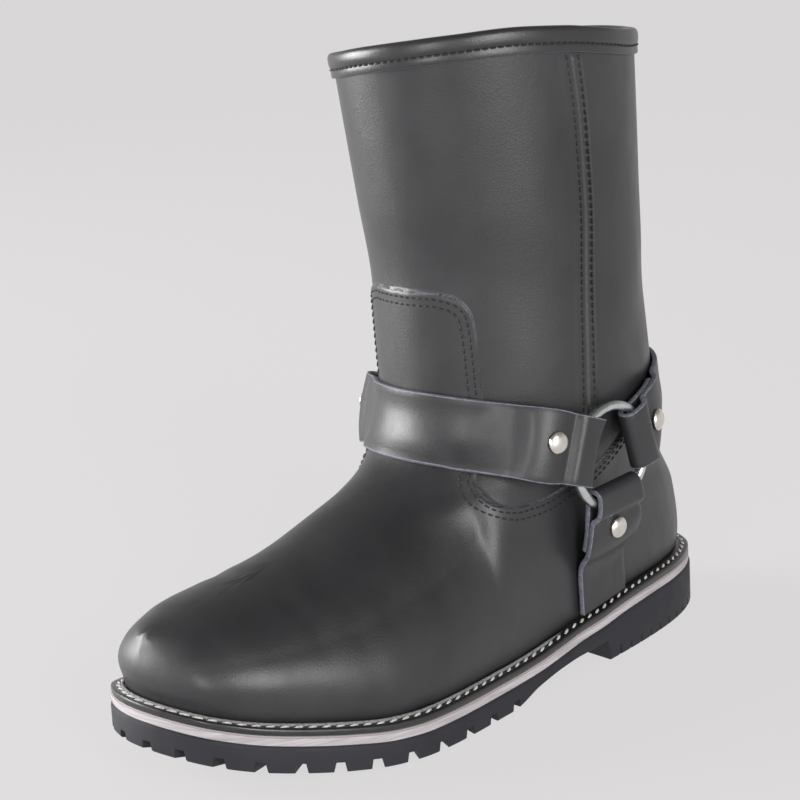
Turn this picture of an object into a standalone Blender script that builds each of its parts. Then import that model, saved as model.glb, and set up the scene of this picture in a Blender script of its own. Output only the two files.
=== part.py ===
"""Harness boot for the left foot: a pull-on boot with straps, rings and a lugged sole.

Lengths in the tables are millimetres. Along runs from the back of the heel to the toe,
across to the outer side of the boot, and up from the floor.
"""

import math

import bmesh
import bpy
import numpy as np

MM = 0.001
GAP = 0.3

SOLE_LENGTH = 300.0
WALL = 2.2
WELT_LEDGE = 7.0
WELT_THICKNESS = 2.8
WELT_WIDTH = 13.0
MIDSOLE_THICKNESS = 3.8
INSOLE_THICKNESS = 5.0
TOE_SWING = -6.6
SWING_START = 190.0

OVERLAY_STEP = 1.4
STRAP_CLEARANCE = OVERLAY_STEP + GAP + 0.3
INSTEP_SPARE = 3.3
REAR_TUCK = 1.1
SEAM_STEP = 0.9
BINDING_HEIGHT = 8.6
BINDING_THICKNESS = 1.3

STRAP_THICKNESS = 2.2
TAIL_END = 38.0
RING_ALONG = 98.5
RING_HEIGHT = 94.0
RING_RADIUS = 20.8
WIRE_RADIUS = 2.0
RIVET_RADIUS = 4.5
RIVET_HEIGHT = 2.3

HEEL_BREAST = 91.5
RUBBER_SHOULDER = 1.6
CUT_BELOW = 3.0
CHANNEL_STEP = 24.0

# Tread of the forefoot and of the heel. Ends is where the edge notches stop along the boot.
TREAD = [
    {
        "name": "front", "front": True, "ends": 156.0, "depth": 4.0, "pitch": 15.5,
        "notch_width": 6.4, "notch_length": 15.5, "channel_inset": 14.5, "channel_width": 3.6,
        "bars": [174.0, 189.0, 204.0, 219.0, 234.0, 249.0, 264.0], "bar_width": 4.0,
    },
    {
        "name": "heel", "front": False, "ends": 84.0, "depth": 3.8, "pitch": 8.2,
        "notch_width": 2.7, "notch_length": 12.5, "channel_inset": 11.5, "channel_width": 3.0,
        "bars": [36.0, 52.0, 68.0], "bar_width": 3.0,
    },
]

# Half-widths of the sole on either side of its long axis.
SOLE_EDGE = {
    "along": [0.0, 10.0, 42.0, 105.0, 150.0, 205.0, 258.0, 288.0, 300.0],
    "outer": [0.0, 24.2, 39.6, 49.9, 54.3, 60.1, 47.7, 32.4, 0.0],
    "inner": [0.0, 26.0, 38.0, 36.0, 42.0, 50.1, 46.4, 30.2, 0.0],
}

# Heights along the sole: the tread side of the rubber, and the rubber's top.
SOLE_PROFILE = {
    "along": [0, 50, 75, 91.5, 93.5, 112, 123, 140, 158, 205, 222, 240, 270, 300],
    "underside": [0, 0, 0, 0, 8.9, 8.8, 7.9, 4.9, 0.0, 0.0, 0.5, 2.4, 8.2, 17.0],
    "rubber_top": [19.2, 19.2, 18.2, 16.4, 16.1, 14.7, 13.0, 10.7, 9.7, 9.6, 10.3, 12.8, 18.9, 27.8],
}

# The upper's back and front outline from the side.
BACK_LINE = {
    "height": [10, 26, 35, 57, 76, 100, 124, 168, 231, 260],
    "along": [7.0, 7.0, 6.0, 9.5, 19.0, 25.0, 30.0, 34.0, 36.0, 37.0],
}
FRONT_LINE = {
    "height": [10, 33, 44, 57, 63, 67, 73, 81, 89, 98, 108, 120, 135, 168, 200, 235, 260],
    "along": [293, 293, 295, 291, 273, 249, 222, 200, 177.5, 165, 158.5, 156, 156.5, 158, 163, 168,
              171.5],
}

# Half-width of the shaft, taken as an ellipse, and how far the foot gives way to it.
SHAFT_WIDTH = {
    "height": [10, 60, 84, 94, 115, 150, 200, 260],
    "half_width": [44.0, 46.5, 49.3, 50.2, 50.8, 51.0, 52.5, 54.7],
}
FOOT_ENDS = 62.0
SHAFT_STARTS = 118.0
TOE_BULGE = 44.0
INSTEP_END = 120.0
INSTEP_SLOPE = 2.2
DOME_POWER = 2.4
TOE_DOME_POWER = 1.2
SIDE_BULGE = 0.05

# Height of the upper's top edge round the boot, from the toe along the inner side to the heel
# and back along the outer side.
COLLAR = {
    "around": [-180, -160, -125, -97, -60, -30, 0, 30, 58, 81, 97, 117, 141, 160, 180],
    "height": [263, 260.5, 257.5, 256.5, 257.5, 259, 260, 260.5, 261.8, 265.1, 267.2, 268.2, 266.8,
               265.1, 263],
}

# Upper edge of the vamp and counter layer, round the boot from the heel (0) to the toe (180).
OVERLAY_EDGE = {
    "around": [0, 45, 74, 78.5, 82.4, 87, 93.3, 98, 102.6, 108.3, 115, 125, 136, 141, 143.3, 144.2,
               145.4, 147.5, 151, 156, 163, 180],
    "height": [101, 101, 99, 95, 89, 85, 82.8, 81, 80.3, 80.3, 81.5, 84.8, 89.8, 94, 112, 147, 157.5,
               161.5, 164.3, 166, 167, 167],
}

# Each strap: its width, its width and its distance from the ring's centre at the fold, how far
# the fold bows back at the strap's edges, and where its rivet sits along and across it.
# Flat is how far from the ring's centre it lies level with the ring, and how fast it then
# comes down to the boot.
# Course gives how far its middle line strays, up or forward, by distance from the ring.
STRAPS = {
    "front": {
        "width": 29.4, "fold_width": 28.4, "fold": 11.0, "bow": 2.0, "rivet": (32.0, 1.8),
        "flat": (30.0, 22.0),
        "distance": [0, 30, 69, 90], "course": [0.0, 10.2, 20.0, 23.5],
    },
    "rear": {
        "width": 29.4, "fold_width": 25.4, "fold": 10.9, "bow": 0.0, "rivet": (30.2, 0.0),
        "flat": (26.0, 20.0),
        "distance": [0, 13, 26, 30, 50, 69, 90], "course": [0.0, 3.73, 7.46, 8.5, 12.4, 13.6, 13.6],
    },
    "down": {
        "width": 31.0, "fold_width": 25.0, "fold": 11.0, "bow": 0.0, "rivet": (31.4, 0.0),
        "flat": (31.0, 23.0),
        "distance": [0, 24, 33, 80], "course": [0.0, -2.3, -3.2, -7.7],
    },
}
SEAM_ALONG = 103.7
SEAM_EDGES = (90.9, 91.5, 98.0, 98.6)
TAB_EDGES = (143.9, 145.6)
TAB_FOOT = 139.5
LAYER_ROWS = 13
SHAFT_ROWS = 5


def smooth(t):
    t = np.clip(t, 0.0, 1.0)
    return t * t * (3.0 - 2.0 * t)


class Curve:
    """Smooth line through a table's points that doesn't overshoot between them."""

    def __init__(self, at, value):
        self.at = np.array(at, float)
        self.value = np.array(value, float)
        step = np.diff(self.at)
        rise = np.diff(self.value) / step
        self.slope = np.zeros(len(self.at))
        self.slope[0] = rise[0]
        self.slope[-1] = rise[-1]
        for i in range(1, len(rise)):
            if rise[i - 1] * rise[i] > 0.0:
                left = 2.0 * step[i] + step[i - 1]
                right = step[i] + 2.0 * step[i - 1]
                self.slope[i] = (left + right) / (left / rise[i - 1] + right / rise[i])

    def __call__(self, where):
        where = np.clip(where, self.at[0], self.at[-1])
        i = np.clip(np.searchsorted(self.at, where, side="right") - 1, 0, len(self.at) - 2)
        step = self.at[i + 1] - self.at[i]
        t = (where - self.at[i]) / step
        start = (1.0 + 2.0 * t) * (1.0 - t) ** 2 * self.value[i]
        end = t * t * (3.0 - 2.0 * t) * self.value[i + 1]
        bend = t * (1.0 - t) * step * ((1.0 - t) * self.slope[i] - t * self.slope[i + 1])
        return start + end + bend


def squares(values):
    return np.array(values, float) ** 2


OUTER, INNER = 1, -1
SOLE_HALF = {
    OUTER: Curve(SOLE_EDGE["along"], squares(SOLE_EDGE["outer"])),
    INNER: Curve(SOLE_EDGE["along"], squares(SOLE_EDGE["inner"])),
}
underside = Curve(SOLE_PROFILE["along"], SOLE_PROFILE["underside"])
rubber_top = Curve(SOLE_PROFILE["along"], SOLE_PROFILE["rubber_top"])
back_line = Curve(BACK_LINE["height"], BACK_LINE["along"])
front_line = Curve(FRONT_LINE["height"], FRONT_LINE["along"])
shaft_half = Curve(SHAFT_WIDTH["height"], SHAFT_WIDTH["half_width"])
overlay_edge = Curve(np.radians(OVERLAY_EDGE["around"]), OVERLAY_EDGE["height"])
collar = Curve(np.radians(COLLAR["around"]), COLLAR["height"])


def sole_axis(along):
    reach = np.clip((along - SWING_START) / (SOLE_LENGTH - SWING_START), 0.0, 1.0)
    return TOE_SWING * reach ** 2


def midsole_top(along):
    return rubber_top(along) + GAP + MIDSOLE_THICKNESS


def feather(along):
    """Height of the upper's lower edge, on the welt."""
    return midsole_top(along) + GAP + WELT_THICKNESS + GAP


def sole_side(side, inset, stations):
    """One side of the sole's edge moved inward, from heel to toe."""
    nudge = 0.02
    low = np.clip(stations - nudge, 0.0, SOLE_LENGTH)
    high = np.clip(stations + nudge, 0.0, SOLE_LENGTH)
    run = high - low
    rise = np.sqrt(SOLE_HALF[side](high)) - np.sqrt(SOLE_HALF[side](low))
    length = np.hypot(run, rise)
    half = np.sqrt(SOLE_HALF[side](stations))
    along = stations + inset * rise / length
    across = half - inset * run / length
    return np.stack([along, sole_axis(along) + side * across], axis=1)


def sole_stations():
    """Places of the sole's sections, closer together at its round ends."""
    count = 25
    even = [SOLE_LENGTH * (1.0 - math.cos(math.pi * k / count)) / 2.0 for k in range(1, count)]
    breast = [HEEL_BREAST, HEEL_BREAST + 2.0]
    kept = [x for x in even if min(abs(x - b) for b in breast) > 3.0]
    return np.array(sorted(kept + breast))


def sole_ring(inset):
    """Closed outline: heel, outer side, toe, inner side."""
    stations = sole_stations()
    outer = sole_side(OUTER, inset, stations)
    inner = sole_side(INNER, inset, stations)
    heel = [[inset, sole_axis(0.0)]]
    toe = [[SOLE_LENGTH - inset, sole_axis(SOLE_LENGTH)]]
    return np.concatenate([heel, outer, toe, inner[::-1]])


def raise_ring(ring, height):
    return np.column_stack([ring, height(ring[:, 0])])


def feather_half(side):
    """Square of the upper's half-width at its lower edge, by place along the foot."""
    edge = sole_side(side, WELT_LEDGE, sole_stations())
    across = (edge[:, 1] - sole_axis(edge[:, 0])) * side
    inside = across > 0.0
    along = np.concatenate([[WELT_LEDGE], edge[inside, 0], [SOLE_LENGTH - WELT_LEDGE]])
    return Curve(along, squares(np.concatenate([[0.0], across[inside], [0.0]])))


FEATHER_HALF = {OUTER: feather_half(OUTER), INNER: feather_half(INNER)}


def instep(along):
    """Height of the foot's ridge by place along it, from the bulge of the toe to the shaft."""
    heights = np.linspace(TOE_BULGE, INSTEP_END, 600)
    places = front_line(heights)
    shaft_start = places[-1]
    over_shaft = INSTEP_END + INSTEP_SLOPE * (shaft_start - along)
    return np.where(along < shaft_start, over_shaft, np.interp(along, places[::-1], heights[::-1]))


def foot_half(along, height, side):
    """Half-width of the foot part at a height, domed toward the ridge of the instep."""
    back = back_line(height)
    front = front_line(height)
    heel_shift = (WELT_LEDGE - back) * (1.0 - smooth((along - back) / 120.0))
    toe_share = smooth((along - 180.0) / 100.0) * (1.0 - smooth((height - 50.0) / 12.0))
    toe_shift = (SOLE_LENGTH - WELT_LEDGE - front) * toe_share
    base = np.sqrt(np.maximum(FEATHER_HALF[side](along + heel_shift + toe_shift), 0.0))
    floor = feather(along)
    t = np.clip((height - floor) / (instep(along) - floor), 0.0, 1.0)
    power = DOME_POWER + TOE_DOME_POWER * smooth((along - 200.0) / 85.0)
    dome = np.sqrt(1.0 - t ** power)
    return base * dome * (1.0 + SIDE_BULGE * np.sin(math.pi * np.clip(1.6 * t, 0.0, 1.0)))


def half_width(along, height, side):
    """Half-width of the upper's outer face from the sole's axis."""
    back = back_line(height)
    front = front_line(height)
    ratio = np.clip((2.0 * along - back - front) / (front - back), -1.0, 1.0)
    shaft = shaft_half(height) * np.sqrt(1.0 - ratio ** 2)
    share = smooth((height - FOOT_ENDS) / (SHAFT_STARTS - FOOT_ENDS))
    return foot_half(along, height, side) * (1.0 - share) + shaft * share


def upper_axis(along, height):
    share = smooth((height - FOOT_ENDS) / (SHAFT_STARTS - FOOT_ENDS))
    return sole_axis(along) * (1.0 - share)


def upper_point(around, height):
    """Outer face of the upper: around is 0 at the heel, pi at the toe, and minus inside."""
    back = back_line(height)
    front = front_line(height)
    along = (back + front) / 2.0 - (front - back) / 2.0 * np.cos(around)
    outer = half_width(along, height, OUTER)
    inner = -half_width(along, height, INNER)
    across = upper_axis(along, height) + np.where(around >= 0.0, outer, inner)
    return np.stack([along, across, height + 0.0 * along], axis=-1)


def upper_face(around, height, proud):
    """Point of the upper's outer face moved outward by proud."""
    turn, lift = 0.002, 0.05
    middle = upper_point(around, height)
    level = upper_point(around + turn, height) - upper_point(around - turn, height)
    level = np.where(np.abs(around)[..., None] > math.pi - turn, [0.0, -1.0, 0.0], level)
    upward = upper_point(around, height + lift) - upper_point(around, height - lift)
    outward = np.cross(upward, level)
    outward /= np.linalg.norm(outward, axis=-1, keepdims=True)
    return middle + outward * np.broadcast_to(proud, middle.shape[:-1])[..., None]


def around_of(along, height):
    back = back_line(height)
    front = front_line(height)
    return np.arccos(np.clip((back + front - 2.0 * along) / (front - back), -1.0, 1.0))


def lean(around, height):
    """Shift of the columns near the side, which keeps the side seam upright."""
    seam_middle = math.radians((SEAM_EDGES[1] + SEAM_EDGES[2]) / 2.0)
    off_side = np.abs(np.abs(around) - seam_middle)
    window = smooth((math.radians(48.0) - off_side) / math.radians(40.0))
    shift = around_of(SEAM_ALONG, height) - seam_middle
    return around + np.sign(around) * shift * window * smooth((height - 60.0) / 35.0)


def column_angles():
    """Places of the upper's columns round the boot, both sides, from heel to toe and back."""
    heel_part = np.linspace(0.0, SEAM_EDGES[0], 10)
    side_part = np.linspace(SEAM_EDGES[3], TAB_FOOT, 5)
    rise_part = np.linspace(TAB_FOOT, TAB_EDGES[0], 4)[1:]
    toe_part = np.linspace(TAB_EDGES[1], 180.0, 5)
    one_side = np.concatenate([heel_part, SEAM_EDGES[1:3], side_part, rise_part, toe_part])
    other_side = -one_side[1:-1][::-1]
    return np.radians(np.concatenate([one_side, other_side]))


def even_heights(around, low, high, count):
    """Heights up one column, closer together where the face bends."""
    heights = np.linspace(low, high, 90)
    points = upper_point(lean(around, heights), heights)
    steps = np.diff(points, axis=0)
    lengths = np.linalg.norm(steps, axis=1)
    ways = steps / lengths[:, None]
    turns = np.arccos(np.clip(np.sum(ways[1:] * ways[:-1], axis=1), -1.0, 1.0))
    bend_weight = 14.0
    measure = np.concatenate([[0.0], np.cumsum(lengths + bend_weight * np.concatenate([[0.0], turns]))])
    wanted = np.linspace(0.0, measure[-1], count + 1)
    return np.interp(wanted, measure, heights)


def column(around):
    """One column of the upper: heights from feather to collar, and how proud each point is."""
    edge = float(overlay_edge(abs(around)))
    for _ in range(8):
        edge = float(overlay_edge(abs(lean(around, edge))))
    sample = np.linspace(14.0, 40.0, 200)
    foot = upper_point(np.full(200, around), sample)
    start = float(np.interp(0.0, sample - feather(foot[:, 0]), sample))
    step_height = 0.5
    rim = float(collar(around))
    seam_top = rim - BINDING_HEIGHT - 1.2
    low = even_heights(around, start, edge, LAYER_ROWS)
    high = even_heights(around, edge + step_height, seam_top, SHAFT_ROWS)
    degrees = math.degrees(abs(around))
    on_seam = SEAM_EDGES[1] - 0.01 < degrees < SEAM_EDGES[2] + 0.01
    seam = SEAM_STEP if on_seam else 0.0
    heights = np.concatenate([low, high, [seam_top + 0.6, rim]])
    proud = np.concatenate([np.full(len(low), OVERLAY_STEP), np.full(len(high), seam), [0.0, 0.0]])
    proud[0] = 0.0
    return heights, proud


def finish(name, colour, roughness, metallic):
    material = bpy.data.materials.new(name)
    material.use_nodes = True
    shader = material.node_tree.nodes["Principled BSDF"]
    shader.inputs["Base Color"].default_value = (*colour, 1.0)
    shader.inputs["Roughness"].default_value = roughness
    shader.inputs["Metallic"].default_value = metallic
    return material


def make_object(name, points, faces, material, sharp_angle=40.0):
    """Object from points in millimetres; its origin is on the floor under the boot's middle."""
    mesh = bpy.data.meshes.new(name)
    places = [((x - SOLE_LENGTH / 2.0) * MM, y * MM, z * MM) for x, y, z in points]
    mesh.from_pydata(places, [], faces)
    cleaner = bmesh.new()
    cleaner.from_mesh(mesh)
    bmesh.ops.remove_doubles(cleaner, verts=cleaner.verts, dist=0.00001)
    bmesh.ops.recalc_face_normals(cleaner, faces=cleaner.faces)
    cleaner.to_mesh(mesh)
    cleaner.free()
    mesh.shade_smooth()
    mesh.set_sharp_from_angle(angle=math.radians(sharp_angle))
    item = bpy.data.objects.new(name, mesh)
    item.data.materials.append(material)
    bpy.context.scene.collection.objects.link(item)
    return item


def loop_faces(count, lower, upper):
    """Quads between two closed rings that start at these point numbers."""
    following = [(k + 1) % count for k in range(count)]
    return [(lower + k, lower + following[k], upper + following[k], upper + k) for k in range(count)]


def cap_faces(count, start):
    """Strips across a sole-shaped ring, joining its outer side to its inner side."""
    faces = [(start, start + 1, start + count - 1)]
    half = count // 2
    for k in range(1, half - 1):
        faces.append((start + k, start + k + 1, start + count - k - 1, start + count - k))
    faces.append((start + half - 1, start + half, start + half + 1))
    return faces


def stacked(name, rings, material, capped=True, sharp_angle=40.0):
    """Solid from rings stacked upward, closed by caps or, uncapped, by joining last to first."""
    count = len(rings[0])
    faces = []
    for level in range(len(rings) - 1):
        faces += loop_faces(count, level * count, (level + 1) * count)
    top = (len(rings) - 1) * count
    if capped:
        faces += cap_faces(count, 0) + cap_faces(count, top)
    else:
        faces += loop_faces(count, top, 0)
    return make_object(name, np.concatenate(rings), faces, material, sharp_angle)


def make_upper(material):
    """Hollow wall: the outer face up, over the collar, and down the inner face."""
    outside, inside = [], []
    step_row = LAYER_ROWS + 1
    for around in column_angles():
        heights, proud = column(around)
        angles = lean(around, heights)
        outside.append(upper_face(angles, heights, proud))
        kept = np.delete(np.arange(len(heights)), [step_row, len(heights) - 2])
        inside.append(upper_face(angles[kept], heights[kept], -WALL))
        inside[-1][0, 2] = outside[-1][0, 2]
        inside[-1][-1, 2] = heights[-1]
        outside[-1][-1, 2] = heights[-1]
    outside = np.array(outside)
    inside = np.array(inside)
    rings = [outside[:, row] for row in range(outside.shape[1])]
    rings += [inside[:, row] for row in range(inside.shape[1] - 1, -1, -1)]
    return stacked("upper", rings, material, capped=False)


def make_binding(material):
    """Folded strip over the collar, in section from its outer foot over the top to its inner foot."""
    foot = -BINDING_HEIGHT
    round_off = 1.0
    top = GAP + BINDING_THICKNESS
    out_near, out_far = GAP, GAP + BINDING_THICKNESS
    in_near, in_far = -WALL - GAP, -WALL - GAP - BINDING_THICKNESS
    section = [
        (out_near, foot), (out_far, foot), (out_far, top - round_off), (out_far - round_off, top),
        (in_far, top), (in_far, foot), (in_near, foot), (in_near, GAP), (out_near, GAP),
    ]
    angles = column_angles()
    rim = collar(angles)
    rings = []
    for proud, over_rim in section:
        level = rim + min(over_rim, 0.0)
        ring = upper_face(lean(angles, level), level, proud)
        ring[:, 2] = rim + over_rim
        rings.append(ring)
    return stacked("collar_binding", rings, material, capped=False)


def make_insole(material):
    bottom = raise_ring(sole_ring(WELT_WIDTH + GAP), lambda x: midsole_top(x) + GAP)
    top = bottom + [0.0, 0.0, INSOLE_THICKNESS]
    return stacked("insole", [bottom, top], material)


def make_welt(material):
    outer = raise_ring(sole_ring(0.6), lambda x: midsole_top(x) + GAP)
    inner = raise_ring(sole_ring(WELT_WIDTH), lambda x: midsole_top(x) + GAP)
    rise = np.array([0.0, 0.0, WELT_THICKNESS])
    return stacked("welt", [inner, outer, outer + rise, inner + rise], material, capped=False)


def make_midsole(material):
    bottom = raise_ring(sole_ring(0.6), lambda x: rubber_top(x) + GAP)
    top = bottom + [0.0, 0.0, MIDSOLE_THICKNESS]
    return stacked("midsole", [bottom, top], material)


def edge_walk(inset):
    """The sole's edge as a dense closed line, with its length from the heel at each point."""
    stations = SOLE_LENGTH * (1.0 - np.cos(np.linspace(0.0, math.pi, 220)[1:-1])) / 2.0
    outer = sole_side(OUTER, inset, stations)
    inner = sole_side(INNER, inset, stations)
    heel = [[inset, sole_axis(0.0)]]
    toe = [[SOLE_LENGTH - inset, sole_axis(SOLE_LENGTH)]]
    line = np.concatenate([heel, outer, toe, inner[::-1], heel])
    length = np.concatenate([[0.0], np.cumsum(np.linalg.norm(np.diff(line, axis=0), axis=1))])
    return line, length


def on_walk(walk, at):
    line, length = walk
    at = at % length[-1]
    return np.array([np.interp(at, length, line[:, 0]), np.interp(at, length, line[:, 1])])


def block(corners_low, corners_high):
    """Six-sided solid from two rings of four corners."""
    points = list(corners_low) + list(corners_high)
    faces = [(3, 2, 1, 0), (4, 5, 6, 7)]
    faces += [(k, (k + 1) % 4, (k + 1) % 4 + 4, k + 4) for k in range(4)]
    return points, faces


def tread_block(corners, narrow, depth):
    """Cutter under the tread: four plan corners, drawn in toward its middle at its top."""
    corners = np.array(corners)
    low = [(x, y, underside(x) - CUT_BELOW) for x, y in corners]
    drawn = [
        corners[0] + (corners[1] - corners[0]) * narrow,
        corners[1] + (corners[0] - corners[1]) * narrow,
        corners[2] + (corners[3] - corners[2]) * narrow,
        corners[3] + (corners[2] - corners[3]) * narrow,
    ]
    high = [(x, y, underside(x) + depth) for x, y in drawn]
    return block(low, high)


def joined(blocks):
    points, faces = [], []
    for block_points, block_faces in blocks:
        start = len(points)
        points += block_points
        faces += [tuple(start + k for k in face) for face in block_faces]
    return points, faces


def edge_notches(first, last, zone):
    """Notches through the edge between two places along it, from just outside to inward."""
    outside = edge_walk(-2.5)
    inside = edge_walk(zone["notch_length"])
    total = edge_walk(0.0)[1][-1]
    share_out = outside[1][-1] / total
    share_in = inside[1][-1] / total
    half = zone["notch_width"] / 2.0
    count = int(round((last - first) / zone["pitch"]))
    blocks = []
    for k in range(count + 1):
        middle = first + (last - first) * k / count
        corners = [
            on_walk(outside, (middle - half) * share_out),
            on_walk(outside, (middle + half) * share_out),
            on_walk(inside, (middle + half) * share_in),
            on_walk(inside, (middle - half) * share_in),
        ]
        blocks.append(tread_block(corners, 0.2, zone["depth"]))
    return blocks


def channel(first, last, zone):
    """Groove that runs along inside the edge lugs, between two places along the edge."""
    near = edge_walk(zone["channel_inset"])
    far = edge_walk(zone["channel_inset"] + zone["channel_width"])
    total = edge_walk(0.0)[1][-1]
    count = int(round((last - first) / CHANNEL_STEP))
    points, faces = [], []
    for k in range(count + 1):
        place = (first + (last - first) * k / count) / total
        for walk in (near, far):
            x, y = on_walk(walk, place * walk[1][-1])
            points += [(x, y, underside(x) - CUT_BELOW), (x, y, underside(x) + zone["depth"])]
    for k in range(count):
        a, b = 4 * k, 4 * k + 4
        faces += [(a, b, b + 1, a + 1), (a + 2, a + 3, b + 3, b + 2)]
        faces += [(a, a + 2, b + 2, b), (a + 1, b + 1, b + 3, a + 3)]
    end = 4 * count
    faces += [(0, 1, 3, 2), (end, end + 2, end + 3, end + 1)]
    return points, faces


def cross_bars(zone):
    """Grooves straight across the tread, between the channels of both sides."""
    inset = zone["channel_inset"] + zone["channel_width"] - 1.0
    half = zone["bar_width"] / 2.0
    blocks = []
    for x in zone["bars"]:
        ends = np.array([x - half, x + half])
        outer = sole_side(OUTER, inset, ends)
        inner = sole_side(INNER, inset, ends)
        blocks.append(tread_block([outer[0], outer[1], inner[1], inner[0]], 0.1, zone["depth"]))
    return blocks


def cut(target, name, solid):
    """Take a solid out of the target with a Boolean modifier."""
    points, faces = solid
    cutter = make_object(name, points, faces, target.data.materials[0])
    cutter.hide_render = True
    cutter.display_type = "WIRE"
    modifier = target.modifiers.new(name, "BOOLEAN")
    modifier.operation = "DIFFERENCE"
    modifier.object = cutter


def length_at(along):
    """Length round the outer edge, from the heel, to a place along the boot."""
    line, length = edge_walk(0.0)
    toe = int(np.argmax(line[:, 0]))
    return float(np.interp(along, line[:toe, 0], length[:toe]))


def make_outsole(material):
    """Rubber with heel, arch and toe spring; lugs are left between the cuts."""
    top = raise_ring(sole_ring(RUBBER_SHOULDER / 2.0), rubber_top)
    step = raise_ring(sole_ring(0.0), lambda x: rubber_top(x) - RUBBER_SHOULDER)
    bottom = raise_ring(sole_ring(0.0), underside)
    outsole = stacked("outsole", [bottom, step, top], material, sharp_angle=25.0)
    total = float(edge_walk(0.0)[1][-1])
    toe = length_at(SOLE_LENGTH)
    for zone in TREAD:
        reach = length_at(zone["ends"])
        first, last = (reach, 2.0 * toe - reach) if zone["front"] else (total - reach, total + reach)
        notches = edge_notches(first, last, zone)
        cut(outsole, zone["name"] + "_notch_cutter", joined(notches))
        spare = zone["pitch"] * 0.4
        groove = channel(first + spare, last - spare, zone)
        cut(outsole, zone["name"] + "_channel_cutter", groove)
        cut(outsole, zone["name"] + "_bar_cutter", joined(cross_bars(zone)))
    return outsole


def strap_seat(along, height, side):
    """Points on the upper, moved out to where a strap's underside lies."""
    around = around_of(along, height)
    above_layer = smooth((height - overlay_edge(around)) / 14.0)
    behind = smooth((88.0 - along) / 20.0)
    clearance = STRAP_CLEARANCE - REAR_TUCK * above_layer * behind
    return upper_face(side * around, height, clearance)


def seat_plane(side):
    """Distance out from the axis of the flat under a ring and the strap ends that hold it."""
    spread = np.linspace(-25.0, 25.0, 21)
    along, height = np.meshgrid(RING_ALONG + spread, RING_HEIGHT + spread)
    return float(np.max(side * strap_seat(along, height, side)[..., 1]))


SEAT = {OUTER: seat_plane(OUTER), INNER: seat_plane(INNER)}
RING_ACROSS = {side: SEAT[side] + STRAP_THICKNESS + GAP + WIRE_RADIUS for side in (OUTER, INNER)}


def lay_flat(aim, place, side, sizes):
    """Strap points near a ring, brought out to the flat under it and kept square to it."""
    distance = np.hypot(aim[:, 0] - RING_ALONG, aim[:, 2] - RING_HEIGHT)
    reach, blend = sizes["flat"]
    share = 1.0 - smooth((distance - reach) / blend)[:, None]
    seat = np.where(side > 0, SEAT[OUTER], SEAT[INNER])
    flat = aim.copy()
    flat[:, 1] = side * np.maximum(seat, side * place[:, 1])
    return place + (flat - place) * share


class SideTrack:
    """Course of a strap round the front or the back, from one ring to the other."""

    def __init__(self, forward, sizes):
        self.forward = forward
        self.sizes = sizes
        self.course = Curve(sizes["distance"], sizes["course"])
        self.params = np.linspace(math.pi / 2.0, -math.pi / 2.0, 361)
        flat = np.zeros(len(self.params))
        self.rise = flat
        self.tilt = flat
        for _ in range(4):
            line = self.leave(self.params, flat)
            distance = np.abs(line[:, 0] - RING_ALONG)
            self.rise = self.course(distance)
            slope = self.course(distance + 0.5) - self.course(np.maximum(distance - 0.5, 0.0))
            self.tilt = np.arctan(slope)

    def ray(self, turn, width, reach):
        """Point at a distance from the middle of the boot, at a turn and a width across the strap."""
        rise = np.interp(-turn, -self.params, self.rise)
        tilt = np.interp(-turn, -self.params, self.tilt)
        along = RING_ALONG + self.forward * (reach * np.cos(turn) - width * np.sin(tilt))
        across = reach * np.sin(turn)
        return np.stack([along, across, RING_HEIGHT + rise + width * np.cos(tilt)], axis=1)

    def outside(self, point):
        """Whether a point is clear of the upper."""
        along, across, height = point.T
        side = np.where(across >= 0.0, 1.0, -1.0)
        half = np.where(side > 0.0, half_width(along, height, OUTER), half_width(along, height, INNER))
        out = half + side * upper_axis(along, height)
        beyond = (along <= back_line(height)) | (along >= front_line(height))
        return beyond | (np.abs(across) >= out)

    def leave(self, turn, width):
        """Where the upper ends on the way out from the middle."""
        low = np.zeros(len(turn))
        high = np.full(len(turn), 160.0)
        for _ in range(34):
            middle = (low + high) / 2.0
            out = self.outside(self.ray(turn, width, middle))
            high = np.where(out, middle, high)
            low = np.where(out, low, middle)
        return self.ray(turn, width, high)

    def points(self, turn, width):
        met = self.leave(turn, width)
        side = np.where(turn >= 0.0, 1.0, -1.0)
        place = strap_seat(met[:, 0], met[:, 2], side)
        spare = INSTEP_SPARE * smooth((place[:, 0] - RING_ALONG - 20.0) / 20.0)
        outward = place - met
        outward /= np.linalg.norm(outward, axis=1, keepdims=True)
        aim = met.copy()
        tilt = np.interp(-turn, -self.params, self.tilt)
        aim[:, 0] = self.leave(turn, 0.0 * width)[:, 0] - self.forward * width * np.sin(tilt)
        return lay_flat(aim, place + outward * spare[:, None], side, self.sizes)


class DownTrack:
    """Course of a strap from a ring down to the welt."""

    def __init__(self, side, sizes):
        self.side = side
        self.sizes = sizes
        self.course = Curve(sizes["distance"], sizes["course"])
        self.params = np.linspace(0.0, 80.0, 321)

    def points(self, down, width):
        shift = self.course(down)
        lean = np.arctan(self.course(down + 0.5) - self.course(np.maximum(down - 0.5, 0.0)))
        along = RING_ALONG + shift + width * np.cos(lean)
        height = RING_HEIGHT - down + width * np.sin(lean)
        low = np.maximum(height, feather(along))
        place = strap_seat(along, low, self.side)
        place[:, 2] += height - low
        aim = np.stack([along, place[:, 1], height], axis=1)
        return lay_flat(aim, place, self.side, self.sizes)


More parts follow.
